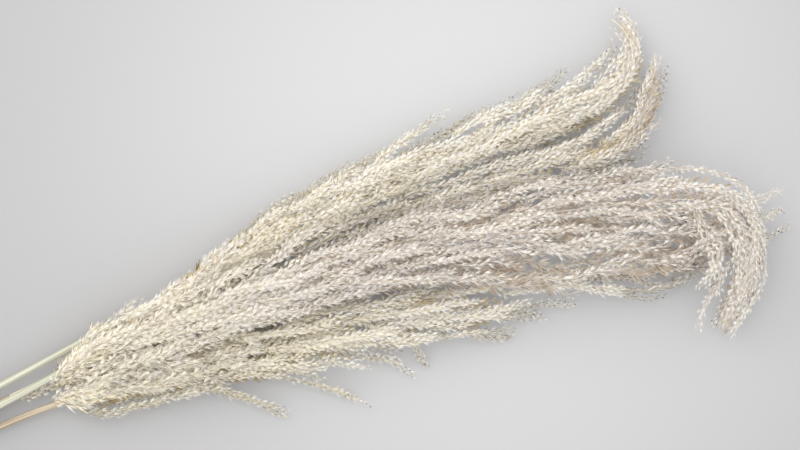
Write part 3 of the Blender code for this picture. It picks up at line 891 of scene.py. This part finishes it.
def spikelet(name, husks, hairs, hair_length, hair_width, fans, seed):
    """One spikelet from husks of (length, width, turn) and a fan of hairs, all in millimetres."""
    rng = random.Random(seed)
    pieces = []
    for length, width, turn in husks:
        one = husk(length * MM, width * MM)
        one.rotation_euler = (rng.uniform(0, HUSK_ROLL), 0, turn)
        pieces.append(finish_place(one))
    blade = hair_blade(hair_length * MM, hair_width * MM, HAIR_DROOP)
    for k in range(hairs):
        hair = blade.copy()
        hair.data = blade.data.copy()
        bpy.context.scene.collection.objects.link(hair)
        turn = 2 * math.pi * (k + rng.uniform(-UNEVEN_TURN, UNEVEN_TURN)) / hairs
        fan = math.radians(rng.uniform(*fans))
        size = rng.uniform(*HAIR_SIZES)
        start = Matrix.Translation((rng.uniform(*HAIR_ROOTS) * hair_length * MM, 0, 0))
        roll = Matrix.Rotation(rng.uniform(-HAIR_ROLL, HAIR_ROLL), 4, "X")
        lean = Matrix.Rotation(turn, 4, "X") @ Matrix.Rotation(-fan, 4, "Y")
        hair.matrix_world = start @ lean @ roll @ Matrix.Scale(size, 4)
        finish_place(hair)
        own_tone = rng.uniform(-HAIR_TONE, HAIR_TONE)
        for spot in hair.data.uv_layers[FUR_MAP].uv:
            spot.vector.x += own_tone
        pieces.append(hair)
    bpy.data.objects.remove(blade)
    deselect()
    for piece in pieces:
        piece.select_set(True)
    bpy.context.view_layer.objects.active = pieces[0]
    bpy.ops.object.join()
    made = bpy.context.active_object
    made.name = name
    return made


def read_model(obj):
    """The spikelet as arrays, in millimetres, after which its object is removed."""
    mesh = obj.data
    mesh.calc_loop_triangles()
    points = np.empty(len(mesh.vertices) * 3, np.float32)
    mesh.vertices.foreach_get("co", points)
    faces = np.empty(len(mesh.loop_triangles) * 3, np.int32)
    mesh.loop_triangles.foreach_get("vertices", faces)
    loops = np.empty(len(mesh.loop_triangles) * 3, np.int32)
    mesh.loop_triangles.foreach_get("loops", loops)
    spots = np.empty(len(mesh.loops) * 2, np.float32)
    mesh.uv_layers[FUR_MAP].uv.foreach_get("vector", spots)
    bpy.data.objects.remove(obj)
    return points.reshape(-1, 3) / MM, faces.reshape(-1, 3), spots.reshape(-1, 2)[loops]


# %% The spikelet models
VARIANTS = 3
# For each kind: the husks, how many hairs, their length and width, the angles of their fan, the first seed.
KINDS = {
    "woolly": ([(2.8, 0.5, 0)], 11, 5.8, 0.33, (5, 32), 1),
    "feathery": ([(3.8, 0.75, 0)], 10, 5.6, 0.31, (4, 26), 4),
    "thin": ([(4.0, 0.8, 0.2), (3.6, 0.7, -0.35)], 5, 5.0, 0.28, (4, 22), 7),
    "deep": ([], 8, 7.5, 0.85, (8, 44), 10),
}
MODELS = {}
for kind, (*shape, seed) in KINDS.items():
    MODELS[kind] = [read_model(spikelet(f"{kind} spikelet", *shape, seed + k)) for k in range(VARIANTS)]
    print(kind, "spikelet:", len(MODELS[kind][0][1]), "triangles")

# %% [markdown]
# Now the ropes are filled. Each spikelet leans out of its branch towards the tip, a golden angle round from
# the last, so that they never line up. Near the root of a branch they are small, then full, and they thin
# out at its tip. The tone of each one comes from where it is: pale and woolly by the culm, greyer further
# on, dark and sparse at the outer tips.

# %% Placing spikelets on a rope
GOLDEN_ANGLE = math.radians(137.508)
TURN_NOISE = 0.3
ROPE_PROFILE = ((0, 0.08, 0.2, 0.7, 0.9, 1.0), (0.5, 0.85, 1.0, 0.95, 0.74, 0.5))
DENSITY = ((0, 0.1, 0.75, 0.92, 1.0), (0.8, 1.0, 0.9, 0.65, 0.5))
DEEP_DENSITY = 0.5
LEAN_RANGE = (12.0, 30.0)
SIZE_RANGE = (0.82, 1.12)
SIZES = ((-80, 60, 250, 420, 520), (1.12, 1.1, 1.06, 1.02, 0.92))
AXIS_OFFSET = 0.9
BODY_SHAPE = (0.13, 0.13, 1.0)
TONES = {
    "1": ((0, 200, 380, 430, 470), (0.12, 0.2, 0.35, 0.45, 0.8)),
    "2": ((-120, 150, 300, 400, 470), (0.12, 0.3, 0.42, 0.5, 0.9)),
    "3": ((-80, 100, 250, 420, 530), (0.08, 0.15, 0.35, 0.55, 0.8)),
    "4": ((-70, 60, 180, 430, 470, 510), (0.06, 0.15, 0.5, 0.55, 0.42, 0.4)),
}
TIP_SHARE = 0.25
TIP_TONE = 0.3
TONE_NOISE = 0.05
PLACE_NOISE = 0.3
FEATHERY_FROM = 0.2
FEATHERY_RISE = 0.3
THIN_FROM = 0.8
THIN_RISE = 0.2
MOST_THIN = 0.9
THIN_TONE = 0.45
LEAST_THIN = 0.4


def fill_rope(rope, name, pitch, rng):
    """Places on the rope's line, offsets, headings, ways out, frames, sizes, tones, shares and depths."""
    route, thickness, deep = rope
    fine = even_line(route, 1.0)
    along = distances_along(fine)
    crowd = np.interp(along / along[-1], *DENSITY)
    count = int(along[-1] * crowd.mean() * (DEEP_DENSITY if deep else 1) / pitch)
    picks = (np.arange(count) + rng.uniform(-PLACE_NOISE, PLACE_NOISE, count)) / max(count, 1)
    spots = np.interp(picks, np.cumsum(crowd) / crowd.sum(), along)
    across, up = ring_frames(fine)
    place, ahead, across, up = [read_at(one, along, spots) for one in (fine, headings(fine), across, up)]
    share = spots / along[-1]
    turn = np.arange(count) * GOLDEN_ANGLE + rng.uniform(0, 2 * math.pi) + rng.normal(0, TURN_NOISE, count)
    out = at_angle(across, up, turn)
    lean = np.radians(rng.uniform(*LEAN_RANGE, count))[:, None]
    way = unit(ahead * np.cos(lean) + out * np.sin(lean))
    top = unit(out * np.cos(lean) - ahead * np.sin(lean))
    frames = np.stack([way, np.cross(top, way), top], axis=2)
    sizes = thickness * np.interp(share, *ROPE_PROFILE) * rng.uniform(*SIZE_RANGE, count)
    sizes *= np.interp(place[:, 0], *SIZES)
    tones = np.interp(place[:, 0], *TONES[name]) + rng.normal(0, TONE_NOISE)
    tones += TIP_TONE * np.clip((share - 1 + TIP_SHARE) / TIP_SHARE, 0, 1) + rng.normal(0, TONE_NOISE, count)
    body = unit(nearest(place, WHOLE_LINES[name])[1] * BODY_SHAPE)
    return place, AXIS_OFFSET * out, ahead, body, frames, sizes, tones, share, np.full(count, deep)


def kinds_of(tones, share, deep, rng):
    """Which model each spikelet is: woolly where it is pale, feathery where it is grey, thin at the tips."""
    draw = rng.uniform(0, 1, len(tones))
    feathery = draw < np.clip((tones - FEATHERY_FROM) / FEATHERY_RISE, 0, 1)
    thinning = np.clip((share - THIN_FROM) / THIN_RISE, 0, MOST_THIN)
    thin = draw < thinning * np.clip(tones / THIN_TONE, LEAST_THIN, 1)
    return np.where(deep, 3, np.where(thin, 2, np.where(feathery, 1, 0)))


# %% [markdown]
# How light falls on hair matters as much as its colour. A real tuft is a soft body that light enters, so it
# is shaded as a whole, while separate blades, each facing its own way, sparkle. One could give the hair a
# translucent shader, which the exported model would lose. Here each blade keeps its place and gets new
# normals: they point out of the plume and a little out of the rope. Each blade's front is then turned to
# that side.

# %% Copying a model to its places
# Deep spikelets read only the root end of the hair map: darker ochre hair, as painted shade under the top
# layers.
DEEP_PAINTED_SHADE_REACH = 0.34
ROPE_RELIEF = 0.38
FLOOR_CLEARANCE = 0.15


def soft_normals(placed, centres, aheads, bodies):
    """Normals that point out of the plume, and a little out of the rope."""
    out = placed - centres[:, None, :]
    out -= (out * aheads[:, None, :]).sum(axis=2, keepdims=True) * aheads[:, None, :]
    return unit(ROPE_RELIEF * unit(out) + bodies[:, None, :])


def copies(model, centres, offsets, aheads, bodies, frames, sizes, tones, reach):
    """The model's points, faces, map and normals at every place."""
    points, faces, spots = model
    placed = np.einsum("kij,nj->kni", frames, points) * sizes[:, None, None] + (centres + offsets)[:, None, :]
    placed[:, :, 2] = np.maximum(placed[:, :, 2], FLOOR_CLEARANCE)
    normals = soft_normals(placed, centres, aheads, bodies)
    count = len(centres)
    shifted = faces[None] + (np.arange(count) * len(points))[:, None, None]
    maps = np.repeat(spots.reshape(1, -1, 3, 2), count, axis=0)
    maps[..., 0] += tones[:, None, None]
    maps[..., 1] *= reach
    a, b, c = [placed[:, corner] for corner in faces.T]
    agrees = (np.cross(b - a, c - a) * normals[:, faces].mean(axis=2)).sum(axis=2) > 0
    turned = ~agrees & (spots.reshape(-1, 3, 2)[:, :, 1].min(axis=1) > HAIR_START)
    shifted[turned] = shifted[turned][:, ::-1]
    maps[turned] = maps[turned][:, ::-1]
    return placed.reshape(-1, 3), shifted.reshape(-1, 3), maps.reshape(-1, 2), normals.reshape(-1, 3)


# %% Arrays into a mesh
def mesh_object(name, points, faces, maps, material, normals=None):
    mesh = bpy.data.meshes.new(name)
    mesh.vertices.add(len(points))
    mesh.vertices.foreach_set("co", (points * MM).astype(np.float32).ravel())
    mesh.loops.add(faces.size)
    mesh.loops.foreach_set("vertex_index", faces.astype(np.int32).ravel())
    mesh.polygons.add(len(faces))
    mesh.polygons.foreach_set("loop_start", np.arange(0, faces.size, 3, dtype=np.int32))
    mesh.polygons.foreach_set("use_smooth", np.ones(len(faces), bool))
    if maps is not None:
        layer = mesh.uv_layers.new(name=FUR_MAP)
        layer.uv.foreach_set("vector", maps.astype(np.float32).ravel())
    mesh.update(calc_edges=True)
    if normals is not None:
        mesh.normals_split_custom_set_from_vertices(normals)
    mesh.materials.append(material)
    made = bpy.data.objects.new(name, mesh)
    bpy.context.scene.collection.objects.link(made)
    return made


def dress(piece, node):
    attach(piece, "root")
    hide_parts(node)


# %% [markdown]
# The number of triangles is a budget that each piece is given. The pitch, which is the way along a rope from
# one spikelet to the next, follows from it. The large plumes are split in two pieces, so that each mesh
# stays light.

# %% The hair of all plumes
TRIANGLES = {"1": (175_000,), "2": (140_000,), "3": (145_000, 145_000), "4": (165_000, 165_000)}
DEEP_WEIGHT = 0.3
FILLED_SHARE = 0.86


def fill_plume(name, title, ropes, budget, material, seed):
    rng = np.random.default_rng(seed)
    length = sum(distances_along(route)[-1] * (DEEP_WEIGHT if deep else 1) for route, _, deep in ropes)
    pitch = length * FILLED_SHARE * len(MODELS["woolly"][0][1]) / budget
    filled = [fill_rope(rope, name, pitch, rng) for rope in ropes]
    *placing, tones, share, deep = map(np.concatenate, zip(*filled))
    kinds = kinds_of(tones, share, deep, rng)
    variants = rng.integers(0, VARIANTS, len(kinds))
    batches, base = [], 0
    for k, (kind, models) in enumerate(MODELS.items()):
        for variant, model in enumerate(models):
            mine = (kinds == k) & (variants == variant)
            given = [values[mine] for values in (*placing, tones)]
            # Painted shade: deep spikelets take only the dark root end of the hair colours.
            points, faces, *rest = copies(model, *given, DEEP_PAINTED_SHADE_REACH if kind == "deep" else 1.0)
            batches.append((points, faces + base, *rest))
            base += len(points)
    points, faces, maps, normals = map(np.concatenate, zip(*batches))
    made = mesh_object(title, points, faces, np.clip(maps, 0, 1), material, normals)
    print(f"{title}: {len(kinds)} spikelets, {len(faces)} triangles, one each {pitch:.2f} mm")
    return made


for name, ropes in ROPES.items():
    material = PINK_GREY_PLUME if name == "4" else CREAM_PLUME
    parts = len(TRIANGLES[name])
    for part, budget in enumerate(TRIANGLES[name]):
        mine = ropes[len(ropes) * part // parts : len(ropes) * (part + 1) // parts]
        title = f"plume_{name}_hair" + ("" if parts == 1 else "_" + "ab"[part])
        hair = fill_plume(name, title, mine, budget, material, 10 * SEEDS[name] + part)
        dress(hair, f"plume_{name}")

# %% [markdown]
# Under the hair, each rope that does not lie deep has its own stalk, and the main branches spring from the
# rachis, which carries on from the culm. They are thin tapering tubes, and they show as straw-coloured lines
# where the hair parts.

# %% Stalks and rachis
STALK_SIDES = 3
STALK_RADII = (0.34, 0.12)
STALK_STEP = 9.0
RACHIS_SIDES = 8
RACHIS_STEP = 6.0
RACHIS_RADII = ((0, 30, 120, 600), (2.55, 1.7, 1.0, 0.3))


def tube_arrays(line, radii, sides):
    """Points and triangles of a tapering tube, closed to a point at its far end and flat at its root."""
    across, up = ring_frames(line)
    angles = np.arange(sides) * 2 * math.pi / sides
    spokes = across[:, None] * np.cos(angles)[None, :, None] + up[:, None] * np.sin(angles)[None, :, None]
    points = (line[:, None] + spokes * np.asarray(radii)[:, None, None]).reshape(-1, 3)
    rows, columns = len(line), np.arange(sides)
    after = (columns + 1) % sides
    faces = []
    for k in range(rows - 1):
        low, high = k * sides, (k + 1) * sides
        faces.append(np.stack([low + columns, low + after, high + after], axis=1))
        faces.append(np.stack([low + columns, high + after, high + columns], axis=1))
    root, tip = len(points), len(points) + 1
    points = np.vstack([points, line[0], line[-1]])
    last = (rows - 1) * sides
    faces.append(np.stack([after, columns, np.full(sides, root)], axis=1))
    faces.append(np.stack([last + columns, last + after, np.full(sides, tip)], axis=1))
    return points, np.vstack(faces)


def straight_places(line, sides):
    """Each point's place before the tube was bent: along it, and round it as a small circle."""
    along = distances_along(line)
    angles = np.arange(sides) * 2 * math.pi / sides
    ring = np.stack([np.zeros(sides), np.cos(angles), np.sin(angles)], axis=1)
    places = along[:, None, None] * np.array([1.0, 0, 0]) + ring[None]
    return np.vstack([places.reshape(-1, 3), [0, 0, 0], [along[-1], 0, 0]])


def write_straight(mesh, places):
    attribute = mesh.attributes.new(STRAIGHT, "FLOAT_VECTOR", "POINT")
    attribute.data.foreach_set("vector", (places * MM).astype(np.float32).ravel())


def add_stalks(name):
    batches, base = [], 0
    for route, _, deep in ROPES[name]:
        if deep:
            continue
        line = even_line(route, STALK_STEP)
        radii = np.linspace(*STALK_RADII, len(line))
        points, faces = tube_arrays(line, radii, STALK_SIDES)
        points[:, 2] = np.maximum(points[:, 2], FLOOR_CLEARANCE)
        batches.append((points, faces + base, straight_places(line, STALK_SIDES) + len(batches)))
        base += len(points)
    line = even_line(split_line(name)[1], RACHIS_STEP)
    radii = np.interp(distances_along(line), *RACHIS_RADII)
    points, faces = tube_arrays(line, radii, RACHIS_SIDES)
    batches.append((points, faces + base, straight_places(line, RACHIS_SIDES)))
    points, faces, places = map(np.concatenate, zip(*batches))
    made = mesh_object(f"plume_{name}_stalks", points, faces, None, STALK)
    write_straight(made.data, places)
    dress(made, f"plume_{name}")
    print(made.name, len(faces), "triangles")


for name in LINES:
    add_stalks(name)

# %% [markdown]
# A culm is a straight smooth tube with a swollen joint here and there. By hand, one draws a circle, extrudes
# it ring by ring and scales each ring, which gives the joint its shape, and then bends the finished tube
# along a guide with a Curve modifier. The straight form is remembered first, for the streaks.

# %% Culms
CULM_SIDES = 20
CULM_RING_STEP = 9.0
JOINT_FROM_CUT = {"1": 30.0, "2": 45.0}
JOINT_ROOM = 7
JOINT_SHAPE = ((-5.0, 1.0), (-2.4, 1.04), (-0.9, 1.07), (-0.5, 0.97), (0.0, 1.1), (1.2, 1.14), (3.0, 1.02))
FACE_GAP = 0.3
PITH_RIM = 0.75
PITH_DEPTH = 0.5
GUIDE_STEP = 6.0
SMOOTH_ANGLE = math.radians(40)
OWN_STREAKS = 700.0


def culm_rings(name, length):
    """(place, radius) of each ring of a culm."""
    def taper(place):
        return np.interp(place, [0, length], [CULM_RADIUS_AT_CUT, CULM_RADIUS_AT_PLUME])

    places = np.linspace(0, length, int(length / CULM_RING_STEP))
    joint = JOINT_FROM_CUT.get(name)
    rings = [(place, taper(place)) for place in places if joint is None or abs(place - joint) > JOINT_ROOM]
    if joint is not None:
        rings += [(joint + shift, taper(joint) * share) for shift, share in JOINT_SHAPE]
    return sorted(rings)


def straight_culm(name, length):
    rings = culm_rings(name, length)
    deselect()
    bpy.ops.mesh.primitive_circle_add(
        vertices=CULM_SIDES, radius=rings[0][1] * MM, fill_type="NGON", rotation=(0, -math.pi / 2, 0))
    culm = finish_place(bpy.context.active_object)
    culm.name = f"culm_{name}_skin"
    bpy.ops.object.mode_set(mode="EDIT")
    bpy.ops.mesh.select_mode(type="FACE")
    bpy.ops.mesh.select_all(action="SELECT")
    for (place, radius), (onward, wide) in zip(rings, rings[1:]):
        bpy.ops.mesh.extrude_region_move(TRANSFORM_OT_translate={"value": ((onward - place) * MM, 0, 0)})
        share = wide / radius
        bpy.ops.transform.resize(value=(1, share, share), center_override=(onward * MM, 0, 0))
    bpy.ops.mesh.select_all(action="SELECT")
    bpy.ops.mesh.normals_make_consistent(inside=False)
    bpy.ops.object.mode_set(mode="OBJECT")
    return culm


def hollow_cut_end(culm):
    """The cut end shows a rim and a pith that has shrunk a little."""
    culm.data.materials.append(PITH)
    bpy.ops.object.mode_set(mode="EDIT")
    mesh = bmesh.from_edit_mesh(culm.data)
    for face in mesh.faces:
        face.select = len(face.verts) > 4 and face.calc_center_median().x < MM
    bmesh.update_edit_mesh(culm.data)
    bpy.ops.mesh.inset(thickness=PITH_RIM * MM, depth=0)
    bpy.ops.mesh.extrude_region_move(TRANSFORM_OT_translate={"value": (PITH_DEPTH * MM, 0, 0)})
    bpy.context.object.active_material_index = 1
    bpy.ops.object.material_slot_assign()
    bpy.ops.object.mode_set(mode="OBJECT")


def add_spline(curve_data, line):
    spline = curve_data.splines.new("POLY")
    spline.points.add(len(line) - 1)
    for point, place in zip(spline.points, line):
        point.co = (*(place * MM), 1)


def bend_along(obj, line):
    """Bends the straight object along a guide curve through the line's points."""
    guide_data = bpy.data.curves.new("guide", "CURVE")
    guide_data.dimensions = "3D"
    add_spline(guide_data, line)
    guide = bpy.data.objects.new("guide", guide_data)
    bpy.context.scene.collection.objects.link(guide)
    bend = obj.modifiers.new("Follow the line", "CURVE")
    bend.object = guide
    bend.deform_axis = "POS_X"
    deselect()
    obj.select_set(True)
    bpy.context.view_layer.objects.active = obj
    bpy.ops.object.modifier_apply(modifier=bend.name)
    bpy.data.objects.remove(guide)


def add_culm(name, material):
    line, _ = split_line(name)
    length = distances_along(line)[-1] - FACE_GAP
    culm = straight_culm(name, length)
    culm.data.materials.append(material)
    hollow_cut_end(culm)
    flat = np.array([vert.co for vert in culm.data.vertices]) / MM
    write_straight(culm.data, flat + np.array([OWN_STREAKS * int(name), 0, 0]))
    bend_along(culm, even_line(line, GUIDE_STEP))
    deselect()
    culm.select_set(True)
    bpy.context.view_layer.objects.active = culm
    bpy.ops.object.shade_smooth_by_angle(angle=SMOOTH_ANGLE)
    dress(culm, f"culm_{name}")
    print(culm.name, len(culm.data.polygons), "faces")


for name in LINES:
    add_culm(name, STRAW_CULM if name in "23" else GREEN_CULM)

# %% [markdown]
# The tie is jute twine of three strands. Here it is wound as it would be by hand: one length goes three
# times round the culms and through a knot on top, and its two ends lie short beside it. Each strand is a
# curve with a round bevel that spirals about the twine's own line, and the finished strands are turned into
# a mesh.

# %% The twine's routes
TURNS = 3
STEPS_A_TURN = 24
TWINE_PITCH = 1.6
TWINE_STEP = 0.8
KNOT_HALF_SIZE = (2.3, 2.0, 0.9)
KNOT_POINTS = 48
KNOT_SWING = 1.2
KNOT_LIFT = 0.8
KNOT_RISE = 0.6
TAIL_REACH = 15.0
TAIL_SLANT = 0.35
TAIL_WAVE = 0.7
TAIL_DROP = 0.5
TWINE_TOP = TOP_ROW + CULM_RADIUS_AT_CUT + TIE_GAP + TWINE_HALF_THICKNESS


def tie_directions():
    ways = []
    for line in WHOLE_LINES.values():
        place = int(np.argmax(line[:, 0] >= TIE_PLACE))
        ways.append(headings(line)[place])
    along = unit(np.array([*np.mean(ways, axis=0)[:2], 0]))
    return along, np.cross(UP, along)


def wound_route():
    """The twine's line: up out of the knot, three times round the four culms and back into the knot."""
    along, across = tie_directions()
    middle = np.array([TIE_PLACE, TIE_ACROSS, (BOTTOM_ROW + TOP_ROW) / 2])
    reach = CULM_RADIUS_AT_CUT + TIE_GAP + TWINE_HALF_THICKNESS
    points = []
    steps = TURNS * STEPS_A_TURN
    for k in range(steps + 1):
        turn = math.pi / 2 + 2 * math.pi * TURNS * k / steps
        out = across * math.cos(turn) + UP * math.sin(turn)
        corner = across * np.sign(round(math.cos(turn), 3)) + UP * np.sign(round(math.sin(turn), 3))
        shift = TWINE_PITCH * (TURNS * k / steps - TURNS / 2)
        points.append(middle + corner * CULM_SPACING / 2 + out * reach + along * shift)
    return smooth_line(points, TWINE_STEP)


def knot_route():
    """A small flat trefoil, which reads as a knot from every side."""
    along, across = tie_directions()
    place = np.array([TIE_PLACE, TIE_ACROSS, TWINE_TOP + KNOT_LIFT + KNOT_RISE])
    x, y, z = KNOT_HALF_SIZE
    points = []
    for t in np.linspace(0, 2 * math.pi, KNOT_POINTS):
        swing = (2 + math.cos(3 * t)) / 3 * KNOT_SWING
        a, b, c = swing * math.cos(2 * t), swing * math.sin(2 * t), math.sin(3 * t)
        points.append(place + along * a * x + across * b * y + UP * c * z)
    return smooth_line(points, TWINE_STEP)


def tail_route(way):
    along, across = tie_directions()
    start = np.array([TIE_PLACE, TIE_ACROSS, TWINE_TOP + KNOT_LIFT])
    slant = way * (along + across * TAIL_SLANT)
    shares = np.linspace(0, 1, 5)
    heights = TAIL_WAVE * np.sin(4 * shares) - TAIL_DROP * shares
    points = [start + slant * TAIL_REACH * share + UP * height for share, height in zip(shares, heights)]
    return smooth_line(points, TWINE_STEP)


ROUTES = [wound_route(), knot_route(), tail_route(1), tail_route(-1)]
print("metres of twine in the winding, knot and ends:", [round(metres([one]), 3) for one in ROUTES])

# %% The twisted strands
STRANDS = 3
STRAND_RADIUS = 0.52
STRAND_OFFSET = 0.5
TWINE_LAY = 6.5


def twisted_strands(route, radius, phase):
    """Three strands round the route, as one curve object."""
    data = bpy.data.curves.new("twine strands", "CURVE")
    data.dimensions = "3D"
    data.bevel_depth = radius * MM
    data.bevel_resolution = 1
    data.use_fill_caps = True
    across, up = ring_frames(route)
    along = distances_along(route)
    for strand in range(STRANDS):
        turn = 2 * math.pi * (along / TWINE_LAY + strand / STRANDS) + phase
        add_spline(data, route + at_angle(across, up, turn) * STRAND_OFFSET)
    made = bpy.data.objects.new("twine strands", data)
    bpy.context.scene.collection.objects.link(made)
    return made


def add_tie():
    pieces = [twisted_strands(route, STRAND_RADIUS, k) for k, route in enumerate(ROUTES)]
    deselect()
    for piece in pieces:
        piece.select_set(True)
    bpy.context.view_layer.objects.active = pieces[0]
    bpy.ops.object.convert(target="MESH")
    bpy.ops.object.join()
    tie = bpy.context.active_object
    tie.name = "twine_tie"
    tie.data.materials.clear()
    tie.data.materials.append(TWINE)
    bpy.ops.object.shade_smooth()
    places = np.array([vert.co for vert in tie.data.vertices]) / MM
    write_straight(tie.data, places)
    dress(tie, "tie")
    print("twine tie:", len(tie.data.polygons), "faces")


add_tie()

# %% [markdown]
# The bundle lies on a wide floor of pale grey, whose colour holds a painted pool of light: paler round a
# point near the bundle and darker outwards. One large soft light hangs above it, a little towards its upper
# left, and the pale surroundings fill the shadows, so that the hair shows its own depth and the floor stays
# clean.

# %% Floor
FLOOR_RADIUS = 12.0
FLOOR_CORNERS = 96
# Painted light on the floor: the first tone at the centre of the pool, the second one outwards.
FLOOR_PAINTED_LIGHT_TONE = (0.508, 0.505, 0.508)
FLOOR_PAINTED_FALLOFF_TONE = (0.352, 0.346, 0.345)
PAINTED_LIGHT_CENTRE = (0.30, 0.04, 0)
PAINTED_LIGHT_REACH = 0.5


def floor_material():
    material = bpy.data.materials.new("floor with painted light pool")
    material.use_nodes = True
    tree = material.node_tree
    shader = tree.nodes["Principled BSDF"]
    place = add_node(tree, "ShaderNodeTexCoord").outputs["Object"]
    centred = add_node(tree, "ShaderNodeVectorMath", {0: place, 1: PAINTED_LIGHT_CENTRE}, operation="SUBTRACT")
    far = add_node(tree, "ShaderNodeVectorMath", {0: centred.outputs[0]}, operation="LENGTH").outputs["Value"]
    # Painted light: the floor grows darker with distance from the pool's centre.
    outer = between(tree, far, 0.0, PAINTED_LIGHT_REACH)
    colour = colour_mix(tree, outer, rgba(FLOOR_PAINTED_LIGHT_TONE), rgba(FLOOR_PAINTED_FALLOFF_TONE))
    tree.links.new(colour, shader.inputs["Base Color"])
    shader.inputs["Roughness"].default_value = 0.9
    shader.inputs["Specular IOR Level"].default_value = 0.1
    return material


deselect()
bpy.ops.mesh.primitive_circle_add(
    vertices=FLOOR_CORNERS, radius=FLOOR_RADIUS, fill_type="TRIFAN", location=(0, 0, 0))
floor = bpy.context.active_object
floor.name = "floor"
floor.data.materials.append(floor_material())
print("floor radius:", FLOOR_RADIUS, "m")

# %% Surroundings and lights
SURROUNDINGS = (0.97, 0.985, 1.0)
SURROUNDINGS_STRENGTH = 1.3
# For each light: its place, the place that it looks at, its width, its power and its colour.
LIGHTS = {
    "large soft light": ((0.15, 0.5, 2.6), (0.2, 0.0, 0.0), 2.4, 24.0, (1.0, 0.995, 0.985)),
    "low side light": ((-0.6, 1.4, 1.2), (0.2, 0.0, 0.05), 1.2, 9.0, (1.0, 0.985, 0.965)),
}
world = bpy.data.worlds.new("pale surroundings")
world.use_nodes = True
background = world.node_tree.nodes["Background"]
background.inputs["Color"].default_value = rgba(SURROUNDINGS)
background.inputs["Strength"].default_value = SURROUNDINGS_STRENGTH
bpy.context.scene.world = world

for name, (place, target, size, power, colour) in LIGHTS.items():
    data = bpy.data.lights.new(name, "AREA")
    data.shape = "DISK"
    data.size = size
    data.energy = power
    data.color = colour
    light = bpy.data.objects.new(name, data)
    bpy.context.scene.collection.objects.link(light)
    light.location = place
    light.rotation_euler = (Vector(target) - Vector(place)).to_track_quat("-Z", "Y").to_euler()
print("lights:", ", ".join(LIGHTS))
